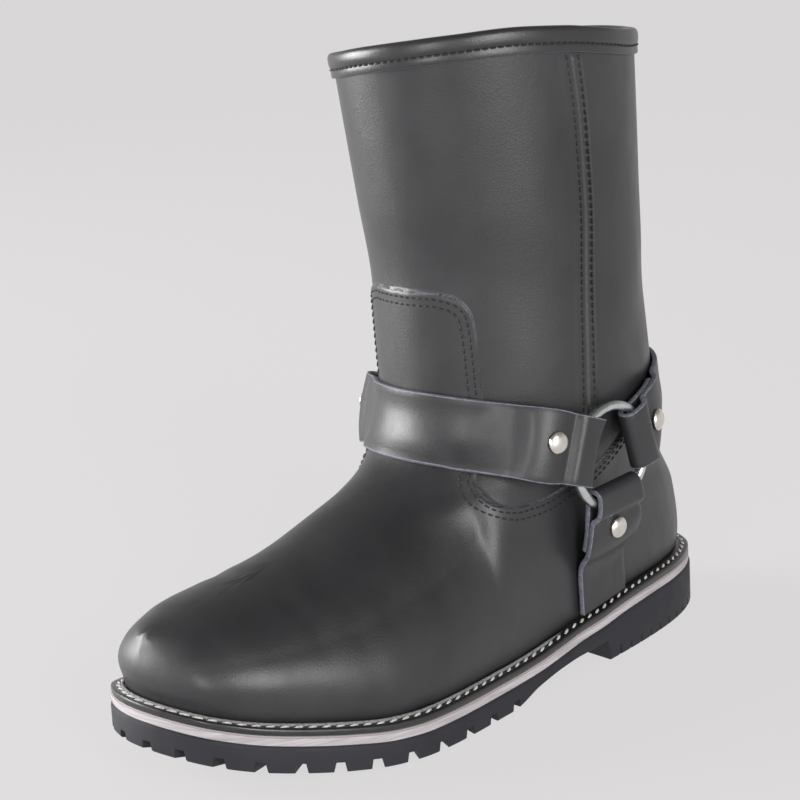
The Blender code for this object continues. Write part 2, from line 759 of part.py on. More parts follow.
class Strap:
    """Places points given by length along a course, width across it and height over it."""

    def __init__(self, track, two_ended):
        self.track = track
        self.two_ended = two_ended
        line = track.points(track.params, np.zeros(len(track.params)))
        steps = np.linalg.norm(np.diff(line, axis=0), axis=1)
        self.lengths = np.concatenate([[0.0], np.cumsum(steps)])
        self.total = float(self.lengths[-1])

    def base(self, at, width):
        return self.track.points(np.interp(at, self.lengths, self.track.params), width)

    def place(self, at, width, lift):
        at = np.asarray(at, float)
        width = np.asarray(width, float) + 0.0 * at
        step = 1.5
        forth = np.clip(at + step, 0.0, self.total)
        backward = np.clip(at - step, 0.0, self.total)
        level = self.base(forth, width) - self.base(backward, width)
        across = self.base(at, width + step) - self.base(at, width - step)
        outward = np.cross(across, level)
        middle = self.base(at, width)
        away = middle - [RING_ALONG, 0.0, 0.0]
        away[:, 2] = 0.0
        outward *= np.sign(np.sum(outward * away, axis=1))[:, None]
        outward /= np.linalg.norm(outward, axis=1, keepdims=True)
        return middle + outward * np.asarray(lift, float)[:, None]


def strap_end(fold):
    """Middle of the leather from its tail, round the ring's wire, to where one layer is left.

    Each row is a distance from the ring's centre and a height over the boot.
    """
    low = STRAP_THICKNESS / 2.0
    wire_height = STRAP_THICKNESS + GAP + WIRE_RADIUS
    radius = wire_height - low
    high = wire_height + radius
    double = low + STRAP_THICKNESS + GAP
    turn_at = fold + STRAP_THICKNESS / 2.0 + radius
    path = [(TAIL_END, low), (30.0, low), (22.0, low), (turn_at, low)]
    for k in range(1, 6):
        angle = math.radians(-90.0 - 30.0 * k)
        path.append((turn_at + radius * math.cos(angle), wire_height + radius * math.sin(angle)))
    path += [(turn_at, high), (RING_RADIUS, high)]
    for degrees in (60.0, 30.0):
        angle = math.radians(degrees)
        path.append((RING_RADIUS + radius * math.cos(angle), wire_height + radius * math.sin(angle)))
    drop = path[-1][1] - double
    path.append((path[-1][0] + drop / math.tan(math.radians(60.0)), double))
    path += [(31.0, double), (TAIL_END + 1.0, double), (TAIL_END + 5.0, (double + low) / 2.0)]
    path.append((TAIL_END + 9.0, low))
    return path


def leather_strip(name, strap, path, sizes, material):
    """Strap of even thickness along a path of (length, height) points, bent across its width."""
    path = np.array(path)
    ways = np.diff(path, axis=0)
    ways /= np.linalg.norm(ways, axis=1, keepdims=True)
    normals = np.stack([-ways[:, 1], ways[:, 0]], axis=1)
    joint = np.concatenate([normals[:1], normals[1:] + normals[:-1], normals[-1:]])
    joint /= np.linalg.norm(joint, axis=1, keepdims=True)
    above = path + joint * STRAP_THICKNESS / 2.0
    below = path - joint * STRAP_THICKNESS / 2.0
    rows = 3
    rings = []
    to_ring = path[:, 0]
    if strap.two_ended:
        to_ring = np.minimum(to_ring, strap.total - to_ring)
    widening = smooth((to_ring - 12.0) / 22.0) * (sizes["width"] - sizes["fold_width"])
    half_widths = (sizes["fold_width"] + widening) / 2.0
    for share in np.linspace(-1.0, 1.0, rows + 1):
        bow = sizes["bow"] * share ** 2 * (1.0 - smooth((to_ring - sizes["fold"] - 2.0) / 12.0))
        if strap.two_ended:
            bow = np.where(path[:, 0] > strap.total / 2.0, -bow, bow)
        upper_side = strap.place(above[:, 0] - bow, share * half_widths, above[:, 1])
        lower_side = strap.place(below[:, 0] - bow, share * half_widths, below[:, 1])
        rings.append(np.concatenate([upper_side, lower_side[::-1]]))
    count = len(rings[0])
    faces = []
    for level in range(rows):
        faces += loop_faces(count, level * count, (level + 1) * count)
    for start in (0, rows * count):
        for k in range(len(path) - 1):
            faces.append((start + k, start + k + 1, start + count - k - 2, start + count - k - 1))
    return make_object(name, np.concatenate(rings), faces, material)


def side_strap_path(strap, fold):
    """Path of a strap that is folded round a ring at both ends."""
    end = strap_end(fold)
    first, last = end[-1][0], strap.total - end[-1][0]
    count = int(math.ceil((last - first) / 6.0))
    low = STRAP_THICKNESS / 2.0
    middle = [(first + (last - first) * k / count, low) for k in range(1, count)]
    return end + middle + [(strap.total - at, height) for at, height in reversed(end)]


def down_strap_path(strap, fold):
    """Path of a strap that is folded round a ring at its top and ends on the welt."""
    end = strap_end(fold)
    line = strap.base(strap.lengths, np.zeros(len(strap.lengths)))
    above = line[:, 2] - feather(line[:, 0]) - 2.0
    last = float(np.interp(0.0, -above, strap.lengths))
    first = end[-1][0]
    low = STRAP_THICKNESS / 2.0
    return end + [(first + (last - first) * k / 3.0, low) for k in (1, 2, 3)]


def make_ring(name, side, material):
    """Round wire ring standing in the plane of the boot's side."""
    around_ring, around_wire = 28, 8
    points, faces = [], []
    for k in range(around_ring):
        big = 2.0 * math.pi * k / around_ring
        for j in range(around_wire):
            small = 2.0 * math.pi * (j + 0.5) / around_wire
            radius = RING_RADIUS + WIRE_RADIUS * math.cos(small)
            points.append((radius * math.cos(big), WIRE_RADIUS * math.sin(small), radius * math.sin(big)))
            following = (k + 1) % around_ring * around_wire
            beside = (j + 1) % around_wire
            faces.append((k * around_wire + j, following + j, following + beside, k * around_wire + beside))
    shift = np.array([SOLE_LENGTH / 2.0, 0.0, 0.0])
    ring = make_object(name, np.array(points) + shift, faces, material, 60.0)
    ring.location = (
        (RING_ALONG - SOLE_LENGTH / 2.0) * MM,
        side * RING_ACROSS[side] * MM,
        RING_HEIGHT * MM,
    )
    return ring


def make_rivet(name, strap, at, width, material):
    """Domed cap on a strap's two layers."""
    lift = 2.0 * STRAP_THICKNESS + GAP
    seat = strap.place([at], width, [lift])[0]
    outward = strap.place([at], width, [lift + 1.0])[0] - seat
    aside = np.cross(outward, [0.0, 0.0, 1.0])
    aside /= np.linalg.norm(aside)
    upward = np.cross(aside, outward)
    rim = 0.25
    section = [(1.0, 0.0), (1.0, rim), (0.86, 0.62), (0.5, 0.92)]
    around = 12
    points, faces = [], []
    for share, height in section:
        for k in range(around):
            angle = 2.0 * math.pi * k / around
            flat = (aside * math.cos(angle) + upward * math.sin(angle)) * RIVET_RADIUS * share
            points.append(seat + outward * (GAP + height * RIVET_HEIGHT) + flat)
    for level in range(len(section) - 1):
        faces += loop_faces(around, level * around, (level + 1) * around)
    points.append(seat + outward * (GAP + RIVET_HEIGHT))
    last = (len(section) - 1) * around
    faces += [(last + k, last + (k + 1) % around, len(points) - 1) for k in range(around)]
    faces.append(tuple(range(around)))
    return make_object(name, points, faces, material)


def main():
    for item in list(bpy.data.objects):
        bpy.data.objects.remove(item, do_unlink=True)
    leather = finish("black_leather", (0.035, 0.035, 0.04), 0.42, 0.0)
    strap_leather = finish("strap_leather", (0.03, 0.03, 0.035), 0.45, 0.0)
    board = finish("insole_board", (0.06, 0.055, 0.05), 0.8, 0.0)
    welt_leather = finish("welt_leather", (0.02, 0.02, 0.022), 0.5, 0.0)
    tan_edge = finish("midsole_edge", (0.30, 0.27, 0.24), 0.6, 0.0)
    rubber = finish("sole_rubber", (0.045, 0.045, 0.055), 0.65, 0.0)
    nickel = finish("nickel", (0.6, 0.6, 0.58), 0.25, 1.0)

    make_upper(leather)
    make_binding(leather)
    make_insole(board)
    make_welt(welt_leather)
    make_midsole(tan_edge)
    make_outsole(rubber)

    courses = {}
    for place, forward in (("front", 1.0), ("rear", -1.0)):
        sizes = STRAPS[place]
        strap = Strap(SideTrack(forward, sizes), True)
        courses[place] = strap
        path = side_strap_path(strap, sizes["fold"])
        leather_strip(place + "_strap", strap, path, sizes, strap_leather)
    for side, word in ((OUTER, "outer"), (INNER, "inner")):
        sizes = STRAPS["down"]
        down = Strap(DownTrack(side, sizes), False)
        path = down_strap_path(down, sizes["fold"])
        leather_strip("down_strap_" + word, down, path, sizes, strap_leather)
        make_ring("ring_" + word, side, nickel)
        make_rivet("rivet_down_" + word, down, *sizes["rivet"], nickel)
        for place, strap in courses.items():
            at, width = STRAPS[place]["rivet"]
            at = at if side == OUTER else strap.total - at
            make_rivet("rivet_" + place + "_" + word, strap, at, width, nickel)


main()
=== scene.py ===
"""Looks of the harness boot: every piece as smooth geometry with its own finish, and the stage.

Lengths in the tables are millimetres, in the frame of the CAD model: along runs from the back of the
heel to the toe, across to the outer side of the boot, and up from the floor.
"""

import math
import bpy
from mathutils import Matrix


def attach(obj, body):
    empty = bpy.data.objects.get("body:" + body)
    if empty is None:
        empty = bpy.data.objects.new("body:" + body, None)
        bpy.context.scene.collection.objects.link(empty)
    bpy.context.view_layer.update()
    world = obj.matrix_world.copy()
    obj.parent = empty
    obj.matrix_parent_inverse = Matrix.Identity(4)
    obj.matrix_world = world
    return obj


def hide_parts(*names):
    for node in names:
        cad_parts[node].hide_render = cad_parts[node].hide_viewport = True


bl_info = {
    "name": "Harness boot",
    "version": (1, 0, 0),
    "blender": (4, 5, 0),
    "location": "3D View > Sidebar > Boot",
    "description": "Builds the pieces of a left harness boot on its packed model",
    "category": "Object",
}

import bmesh
import bpy
import numpy as np
from mathutils import Matrix, Vector

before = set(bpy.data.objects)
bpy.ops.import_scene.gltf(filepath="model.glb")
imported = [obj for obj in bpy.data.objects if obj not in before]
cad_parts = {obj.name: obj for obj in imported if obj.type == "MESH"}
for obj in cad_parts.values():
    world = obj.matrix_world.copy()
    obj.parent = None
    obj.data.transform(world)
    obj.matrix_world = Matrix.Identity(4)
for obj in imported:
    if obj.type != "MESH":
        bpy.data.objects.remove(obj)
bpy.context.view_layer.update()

MM = 0.001
PER_METRE = 1000.0
GAP = 0.3

SOLE_LENGTH = 300.0
WALL = 2.2
WELT_LEDGE = 7.0
WELT_THICKNESS = 2.8
WELT_WIDTH = 13.0
MIDSOLE_THICKNESS = 3.8
INSOLE_THICKNESS = 5.0
TOE_SWING = -6.6
SWING_START = 190.0

OVERLAY_STEP = 1.0
STRAP_CLEARANCE = 2.0

# The front strap lies this much closer to the instep than the clearance, so the value is negative.
INSTEP_SPARE = -0.9
REAR_TUCK = 1.1

BINDING_HEIGHT = 8.6
BINDING_THICKNESS = 1.3

STRAP_THICKNESS = 2.2
TAIL_END = 38.0
RING_ALONG = 98.5
RING_HEIGHT = 94.0
RING_RADIUS = 20.8
WIRE_RADIUS = 2.0
RIVET_RADIUS = 4.5
RIVET_HEIGHT = 2.3

HEEL_BREAST = 91.5
RUBBER_SHOULDER = 1.6
CUT_BELOW = 3.0
CHANNEL_STEP = 24.0

# Tread of the forefoot and of the heel. Ends is where the edge notches stop along the boot.
TREAD = [
    {
        "name": "front", "front": True, "ends": 156.0, "depth": 4.0, "pitch": 15.5,
        "notch_width": 6.4, "notch_length": 15.5, "channel_inset": 14.5, "channel_width": 3.6,
        "bars": [174.0, 189.0, 204.0, 219.0, 234.0, 249.0, 264.0], "bar_width": 4.0,
    },
    {
        "name": "heel", "front": False, "ends": 84.0, "depth": 3.8, "pitch": 8.2,
        "notch_width": 2.7, "notch_length": 12.5, "channel_inset": 11.5, "channel_width": 3.0,
        "bars": [36.0, 52.0, 68.0], "bar_width": 3.0,
    },
]

# Half-widths of the sole on either side of its long axis.
SOLE_EDGE = {
    "along": [0.0, 10.0, 42.0, 105.0, 150.0, 205.0, 258.0, 288.0, 300.0],
    "outer": [0.0, 24.2, 39.6, 49.9, 54.3, 60.1, 47.7, 32.4, 0.0],
    "inner": [0.0, 26.0, 38.0, 36.0, 42.0, 50.1, 46.4, 30.2, 0.0],
}

# Heights along the sole: the tread side of the rubber, and the rubber's top.
SOLE_PROFILE = {
    "along": [0, 50, 75, 91.5, 93.5, 112, 123, 140, 158, 205, 222, 240, 270, 300],
    "underside": [0, 0, 0, 0, 8.9, 8.8, 7.9, 4.9, 0.0, 0.0, 0.5, 2.4, 8.2, 17.0],
    "rubber_top": [19.2, 19.2, 18.2, 16.4, 16.1, 14.7, 13.0, 10.7, 9.7, 9.6, 10.3, 12.8, 18.9, 27.8],
}

# The upper's back and front outline from the side.
BACK_LINE = {
    "height": [10, 26, 35, 57, 76, 100, 124, 168, 231, 260],
    "along": [7.0, 7.0, 6.0, 9.5, 19.0, 25.0, 30.0, 34.0, 36.0, 37.0],
}
FRONT_LINE = {
    "height": [10, 33, 44, 57, 63, 67, 73, 81, 89, 98, 108, 120, 135, 168, 200, 235, 260],
    "along": [293, 293, 295, 291, 273, 249, 222, 200, 177.5, 165, 158.5, 156, 156.5, 158, 163, 168,
              171.5],
}

# Half-width of the shaft, taken as an ellipse, and how far the foot gives way to it.
SHAFT_WIDTH = {
    "height": [10, 60, 84, 94, 115, 150, 200, 260],
    "half_width": [44.0, 46.5, 49.3, 50.2, 50.8, 51.0, 52.5, 54.7],
}
FOOT_ENDS = 62.0
SHAFT_STARTS = 118.0
TOE_BULGE = 44.0
INSTEP_END = 111.0
INSTEP_SLOPE = 2.2
INSTEP_START_SLOPE = 4.4
INSTEP_EASE = 8.0
DOME_POWER = 2.4
TOE_DOME_POWER = 1.2
SIDE_BULGE = 0.05

# Height of the upper's top edge round the boot, from the toe along the inner side to the heel
# and back along the outer side.
COLLAR = {
    "around": [-180, -160, -125, -97, -60, -30, 0, 30, 58, 81, 97, 117, 141, 160, 180],
    "height": [263, 260.5, 257.5, 256.5, 257.5, 259, 260, 260.5, 261.8, 265.1, 267.2, 268.2, 266.8,
               265.1, 263],
}

# Upper edge of the vamp and counter layer, round the boot from the heel (0) to the toe (180).
OVERLAY_EDGE = {
    "around": [0, 45, 74, 78.5, 82.4, 87, 93.3, 98, 102.6, 108.3, 115, 125, 136, 141, 143.3, 144.2,
               145.4, 147.5, 151, 156, 163, 180],
    "height": [101, 101, 99, 95, 89, 85, 82.8, 81, 80.3, 80.3, 81.5, 84.8, 89.8, 94, 112, 147, 157.5,
               161.5, 164.3, 166, 167, 167],
}

# Each strap: its width, its width and its distance from the ring's centre at the fold, how far
# the fold bows back at the strap's edges, and where its rivet sits along and across it.
# Flat is how far from the ring's centre it lies level with the ring, and how fast it then
# comes down to the boot.
# Course gives how far its middle line strays, up or forward, by distance from the ring.
STRAPS = {
    "front": {
        "width": 29.4, "fold_width": 28.4, "fold": 11.0, "bow": 2.0, "rivet": (32.0, 1.8),
        "flat": (30.0, 22.0),
        "distance": [0, 30, 69, 90], "course": [0.0, 10.2, 20.0, 23.5],
    },
    "rear": {
        "width": 29.4, "fold_width": 25.4, "fold": 10.9, "bow": 0.0, "rivet": (30.2, 0.0),
        "flat": (26.0, 20.0),
        "distance": [0, 13, 26, 30, 50, 69, 90], "course": [0.0, 3.73, 7.46, 8.5, 12.4, 13.6, 13.6],
    },
    "down": {
        "width": 31.0, "fold_width": 25.0, "fold": 11.0, "bow": 0.0, "rivet": (31.4, 0.0),
        "flat": (31.0, 23.0),
        "distance": [0, 24, 33, 80], "course": [0.0, -2.3, -3.2, -7.7],
    },
}

SEAM_EDGES = (90.9, 91.5, 98.0, 98.6)


def smooth(t):
    t = np.clip(t, 0.0, 1.0)
    return t * t * (3.0 - 2.0 * t)


class Curve:
    """Smooth line through a table's points that doesn't overshoot between them."""

    def __init__(self, at, value):
        self.at = np.array(at, float)
        self.value = np.array(value, float)
        step = np.diff(self.at)
        rise = np.diff(self.value) / step
        self.slope = np.zeros(len(self.at))
        self.slope[0] = rise[0]
        self.slope[-1] = rise[-1]
        for i in range(1, len(rise)):
            if rise[i - 1] * rise[i] > 0.0:
                left = 2.0 * step[i] + step[i - 1]
                right = step[i] + 2.0 * step[i - 1]
                self.slope[i] = (left + right) / (left / rise[i - 1] + right / rise[i])

    def __call__(self, where):
        where = np.clip(where, self.at[0], self.at[-1])
        i = np.clip(np.searchsorted(self.at, where, side="right") - 1, 0, len(self.at) - 2)
        step = self.at[i + 1] - self.at[i]
        t = (where - self.at[i]) / step
        start = (1.0 + 2.0 * t) * (1.0 - t) ** 2 * self.value[i]
        end = t * t * (3.0 - 2.0 * t) * self.value[i + 1]
        bend = t * (1.0 - t) * step * ((1.0 - t) * self.slope[i] - t * self.slope[i + 1])
        return start + end + bend


def squares(values):
    return np.array(values, float) ** 2


OUTER, INNER = 1, -1
SOLE_HALF = {
    OUTER: Curve(SOLE_EDGE["along"], squares(SOLE_EDGE["outer"])),
    INNER: Curve(SOLE_EDGE["along"], squares(SOLE_EDGE["inner"])),
}
underside = Curve(SOLE_PROFILE["along"], SOLE_PROFILE["underside"])
rubber_top = Curve(SOLE_PROFILE["along"], SOLE_PROFILE["rubber_top"])
back_line = Curve(BACK_LINE["height"], BACK_LINE["along"])
front_line = Curve(FRONT_LINE["height"], FRONT_LINE["along"])
shaft_half = Curve(SHAFT_WIDTH["height"], SHAFT_WIDTH["half_width"])
overlay_edge = Curve(np.radians(OVERLAY_EDGE["around"]), OVERLAY_EDGE["height"])
collar = Curve(np.radians(COLLAR["around"]), COLLAR["height"])


def sole_axis(along):
    reach = np.clip((along - SWING_START) / (SOLE_LENGTH - SWING_START), 0.0, 1.0)
    return TOE_SWING * reach ** 2


def midsole_top(along):
    return rubber_top(along) + GAP + MIDSOLE_THICKNESS


def feather(along):
    """Height of the upper's lower edge, on the welt."""
    return midsole_top(along) + GAP + WELT_THICKNESS + GAP


def sole_side(side, inset, stations):
    """One side of the sole's edge moved inward, from heel to toe."""
    nudge = 0.02
    low = np.clip(stations - nudge, 0.0, SOLE_LENGTH)
    high = np.clip(stations + nudge, 0.0, SOLE_LENGTH)
    run = high - low
    rise = np.sqrt(SOLE_HALF[side](high)) - np.sqrt(SOLE_HALF[side](low))
    length = np.hypot(run, rise)
    half = np.sqrt(SOLE_HALF[side](stations))
    along = stations + inset * rise / length
    across = half - inset * run / length
    return np.stack([along, sole_axis(along) + side * across], axis=1)


def sole_stations():
    """Places of the sole's sections, closer together at its round ends."""
    count = 25
    even = [SOLE_LENGTH * (1.0 - math.cos(math.pi * k / count)) / 2.0 for k in range(1, count)]
    breast = [HEEL_BREAST, HEEL_BREAST + 2.0]
    kept = [x for x in even if min(abs(x - b) for b in breast) > 3.0]
    return np.array(sorted(kept + breast))


def raise_ring(ring, height):
    return np.column_stack([ring, height(ring[:, 0])])


def feather_half(side):
    """Square of the upper's half-width at its lower edge, by place along the foot."""
    edge = sole_side(side, WELT_LEDGE, sole_stations())
    across = (edge[:, 1] - sole_axis(edge[:, 0])) * side
    inside = across > 0.0
    along = np.concatenate([[WELT_LEDGE], edge[inside, 0], [SOLE_LENGTH - WELT_LEDGE]])
    return Curve(along, squares(np.concatenate([[0.0], across[inside], [0.0]])))


FEATHER_HALF = {OUTER: feather_half(OUTER), INNER: feather_half(INNER)}


INSTEP_HEIGHTS = np.linspace(TOE_BULGE, INSTEP_END, 4000)
INSTEP_PLACES = front_line(INSTEP_HEIGHTS)


def instep(along):
    """Height of the foot's ridge by place along it, from the bulge of the toe to the shaft."""
    beyond = np.maximum(INSTEP_PLACES[-1] - along, 0.0)
    eased = INSTEP_EASE * (INSTEP_START_SLOPE - INSTEP_SLOPE) * (1.0 - np.exp(-beyond / INSTEP_EASE))
    over_shaft = INSTEP_END + INSTEP_SLOPE * beyond + eased
    on_ridge = np.interp(along, INSTEP_PLACES[::-1], INSTEP_HEIGHTS[::-1])
    return np.where(beyond > 0.0, over_shaft, on_ridge)


def foot_half(along, height, side):
    """Half-width of the foot part at a height, domed toward the ridge of the instep."""
    back = back_line(height)
    front = front_line(height)
    heel_shift = (WELT_LEDGE - back) * (1.0 - smooth((along - back) / 120.0))
    toe_share = smooth((along - 180.0) / 100.0) * (1.0 - smooth((height - 50.0) / 12.0))
    toe_shift = (SOLE_LENGTH - WELT_LEDGE - front) * toe_share
    base = np.sqrt(np.maximum(FEATHER_HALF[side](along + heel_shift + toe_shift), 0.0))
    floor = feather(along)
    t = np.clip((height - floor) / (instep(along) - floor), 0.0, 1.0)
    power = DOME_POWER + TOE_DOME_POWER * smooth((along - 200.0) / 85.0)
    dome = np.sqrt(1.0 - t ** power)
    return base * dome * (1.0 + SIDE_BULGE * np.sin(math.pi * np.clip(1.6 * t, 0.0, 1.0)))


def half_width(along, height, side):
    """Half-width of the upper's outer face from the sole's axis."""
    back = back_line(height)
    front = front_line(height)
    ratio = np.clip((2.0 * along - back - front) / (front - back), -1.0, 1.0)
    shaft = shaft_half(height) * np.sqrt(1.0 - ratio ** 2)
    share = smooth((height - FOOT_ENDS) / (SHAFT_STARTS - FOOT_ENDS))
    return foot_half(along, height, side) * (1.0 - share) + shaft * share


def upper_axis(along, height):
    share = smooth((height - FOOT_ENDS) / (SHAFT_STARTS - FOOT_ENDS))
    return sole_axis(along) * (1.0 - share)


def upper_point(around, height):
    """Outer face of the upper: around is 0 at the heel, pi at the toe, and minus inside."""
    back = back_line(height)
    front = front_line(height)
    along = (back + front) / 2.0 - (front - back) / 2.0 * np.cos(around)
    outer = half_width(along, height, OUTER)
    inner = -half_width(along, height, INNER)
    across = upper_axis(along, height) + np.where(around >= 0.0, outer, inner)
    return np.stack([along, across, height + 0.0 * along], axis=-1)


def upper_face(around, height, proud):
    """Point of the upper's outer face moved outward by proud."""
    turn, lift = 0.002, 0.05
    middle = upper_point(around, height)
    level = upper_point(around + turn, height) - upper_point(around - turn, height)
    level = np.where(np.abs(around)[..., None] > math.pi - turn, [0.0, -1.0, 0.0], level)
    upward = upper_point(around, height + lift) - upper_point(around, height - lift)
    outward = np.cross(upward, level)
    outward /= np.linalg.norm(outward, axis=-1, keepdims=True)
    return middle + outward * np.broadcast_to(proud, middle.shape[:-1])[..., None]


def around_of(along, height):
    back = back_line(height)
    front = front_line(height)
    return np.arccos(np.clip((back + front - 2.0 * along) / (front - back), -1.0, 1.0))


# How far the upper's foot sinks into the gap over the welt.
SETTLED = 0.25

# Columns of the upper: first and last angle and the step between them.
COLUMN_STEPS = [
    (0.0, 86.0, 1.5), (86.0, 103.0, 0.5), (103.0, 136.0, 1.2), (136.0, 141.6, 0.45), (141.6, 147.0, 0.22),
    (147.0, 152.0, 0.4), (152.0, 174.0, 1.1), (174.0, 180.0, 3.0),
]
OUTER_LEVELS = 228
INNER_LEVELS = 28

# Bands of height and span of angle in which the layer's edge runs.
EDGE_BANDS = [(78.0, 103.0), (158.0, 170.0)]
TAB_SPAN = (math.radians(138.0), math.radians(151.0))
FAR_INSIDE = 5.0

# Rounded edge of the lower layer: distance inside the edge, and share of the layer's thickness.
EDGE_ROUND = [(-0.4, 0.0), (-0.1, 0.2), (0.15, 0.86), (0.5, 0.98), (1.0, 1.0)]
CUT_FACE = (-0.35, 0.2)

# Where the side seam runs, by height: it leans forward near the top.
SEAM_COURSE = {"height": [60.0, 150.0, 185.0, 228.0, 262.0], "along": [102.6, 102.4, 102.4, 105.6, 111.4]}
seam_course = Curve(SEAM_COURSE["height"], SEAM_COURSE["along"])

# Angles of the two stitch rows of the side seam, and distances of the two rows inside the layer's edge.
SEAM_ROWS = [92.5, 97.6]
LAYER_ROWS_INSIDE = [2.3, 5.3]

# Section of the binding from its outer foot, over the top and down inside: how far it stands out
# from the upper, its height over the upper's rim, and its material (1 is the cut edge).
BINDING_SECTION = [
    (0.25, -8.6, 1), (1.1, -8.6, 1), (1.5, -8.4, 0), (1.6, -7.8, 0), (1.55, -6.0, 0), (1.35, -5.3, 0),
    (1.3, -5.1, 0), (1.4, -4.8, 0), (1.75, -4.2, 0), (1.95, -3.0, 0), (2.0, -1.6, 0), (1.9, -0.3, 0),
    (1.5, 0.8, 0), (0.8, 1.45, 0), (-0.2, 1.65, 0), (-1.4, 1.7, 0), (-2.6, 1.5, 0), (-3.4, 0.9, 0),
    (-3.9, -0.2, 0), (-4.0, -2.0, 0), (-3.9, -5.0, 0), (-3.8, -8.2, 0), (-3.4, -8.6, 1), (-2.5, -8.6, 1),
    (-2.5, 0.3, 0), (0.25, 0.3, 0),
]
BINDING_STITCH = 5.1

# Section of the welt: inset from the sole's edge and height over its underside.
WELT_SECTION = [
    (13.0, 0.0), (1.4, -0.1), (0.8, 0.2), (0.6, 0.8), (0.6, 1.9), (0.8, 2.45), (1.4, 2.8), (2.5, 2.8),
    (3.0, 2.62), (3.5, 2.55), (4.0, 2.62), (4.5, 2.8), (8.0, 2.8), (13.0, 2.8),
]
WELT_STITCH_INSET = 3.5

# Stitches: length, radius of the thread, slant and height of its middle over the leather.
BLACK_STITCH = (2.3, 0.36, 0.0, 0.1)
WELT_STITCH = (4.9, 0.62, math.radians(24.0), -0.1)

# Bead inside the welt's stitches. Its taper is how many sections it takes to reach its full radius.
BEAD_INSET = 5.0
BEAD_START = 118.0
BEAD_RADIUS = 0.75
BEAD_LIFT = 0.25
BEAD_TAPER = 8.0
BEAD_SIDES = 10

# Rubber's edge: insets and heights over its underside, and over its top.
RUBBER_FOOT = [(0.6, 0.0), (0.0, 0.6)]
RUBBER_HEAD = [(0.0, -RUBBER_SHOULDER), (0.25, -0.6), (0.8, 0.1)]

# Section of a rivet's cap: share of its radius and share of its height.
RIVET_SECTION = [
    (0.9, 0.0), (1.0, 0.08), (1.03, 0.2), (1.0, 0.34), (0.93, 0.5), (0.82, 0.66), (0.66, 0.82), (0.46, 0.93),
    (0.25, 0.985), (0.08, 1.0),
]
SOLE_STATIONS = 260

# Creases and soft hollows of the worn upper. Each has a middle, a width, a reach along it, a slant
# in degrees from upright, how far its ends bend, a depth and the side of the boot (0 is both).
FOLD_TERMS = ("along", "height", "width", "reach", "slant", "bend", "depth", "side")
FOLDS = [dict(zip(FOLD_TERMS, row)) for row in (
    (243.0, 66.0, 3.6, 16.0, 0.0, 0.0, 0.28, 0),
    (96.0, 205.0, 15.0, 60.0, 6.0, 4.0, 0.5, 0),
    (140.0, 190.0, 13.0, 50.0, -9.0, 5.0, 0.45, 0),
    (58.0, 150.0, 12.0, 32.0, 40.0, 4.0, 0.45, 0),
)]

# Lamps: name, place, aim, width, height and power in watts.
LIGHTS = [
    ("window_lamp", (1.2, -1.5, 0.45), (0.05, 0.0, 0.07), 1.3, 1.1, 74.0),
    ("front_lamp", (1.9, 0.95, 0.35), (0.0, 0.0, 0.12), 0.5, 1.2, 17.0),
    ("side_lamp", (0.5, 1.9, 0.5), (0.0, 0.0, 0.13), 0.8, 1.6, 38.0),
]

CAMERA = {
    "place": (0.53654, 0.58730, 0.32431), "right": (-0.7347, 0.6761, -0.0541),
    "upward": (-0.2072, -0.1477, 0.9671), "forward": (-0.6459, -0.7218, -0.2486),
}


def lean(around, height):
    """Shift of the columns near the side, which keeps the side seam upright."""
    seam_middle = math.radians((SEAM_EDGES[1] + SEAM_EDGES[2]) / 2.0)
    off_side = np.abs(np.abs(around) - seam_middle)
    window = smooth((math.radians(48.0) - off_side) / math.radians(40.0))
    shift = around_of(seam_course(height), height) - seam_middle
    return around + np.sign(around) * shift * window * smooth((height - 60.0) / 35.0)


def loop_faces(count, lower, upper):
    """Quads between two closed rings that start at these point numbers."""
    following = [(k + 1) % count for k in range(count)]
    return [(lower + k, lower + following[k], upper + following[k], upper + k) for k in range(count)]


def cap_faces(count, start):
    """Strips across a sole-shaped ring, joining its outer side to its inner side."""
    faces = [(start, start + 1, start + count - 1)]
    half = count // 2
    for k in range(1, half - 1):
        faces.append((start + k, start + k + 1, start + count - k - 1, start + count - k))
    faces.append((start + half - 1, start + half, start + half + 1))
    return faces


def edge_walk(inset):
    """The sole's edge as a dense closed line, with its length from the heel at each point."""
    stations = SOLE_LENGTH * (1.0 - np.cos(np.linspace(0.0, math.pi, 220)[1:-1])) / 2.0
    outer = sole_side(OUTER, inset, stations)
    inner = sole_side(INNER, inset, stations)
    heel = [[inset, sole_axis(0.0)]]
    toe = [[SOLE_LENGTH - inset, sole_axis(SOLE_LENGTH)]]
    line = np.concatenate([heel, outer, toe, inner[::-1], heel])
    length = np.concatenate([[0.0], np.cumsum(np.linalg.norm(np.diff(line, axis=0), axis=1))])
    return line, length


def on_walk(walk, at):
    line, length = walk
    at = at % length[-1]
    return np.array([np.interp(at, length, line[:, 0]), np.interp(at, length, line[:, 1])])


def block(corners_low, corners_high):
    """Six-sided solid from two rings of four corners."""
    points = list(corners_low) + list(corners_high)
    faces = [(3, 2, 1, 0), (4, 5, 6, 7)]
    faces += [(k, (k + 1) % 4, (k + 1) % 4 + 4, k + 4) for k in range(4)]
    return points, faces


def tread_block(corners, narrow, depth):
    """Cutter under the tread: four plan corners, drawn in toward its middle at its top."""
    corners = np.array(corners)
    low = [(x, y, underside(x) - CUT_BELOW) for x, y in corners]
    drawn = [
        corners[0] + (corners[1] - corners[0]) * narrow,
        corners[1] + (corners[0] - corners[1]) * narrow,
        corners[2] + (corners[3] - corners[2]) * narrow,
        corners[3] + (corners[2] - corners[3]) * narrow,
    ]
    high = [(x, y, underside(x) + depth) for x, y in drawn]
    return block(low, high)


def joined(blocks):
    points, faces = [], []
    for block_points, block_faces in blocks:
        start = len(points)
        points += block_points
        faces += [tuple(start + k for k in face) for face in block_faces]
    return points, faces


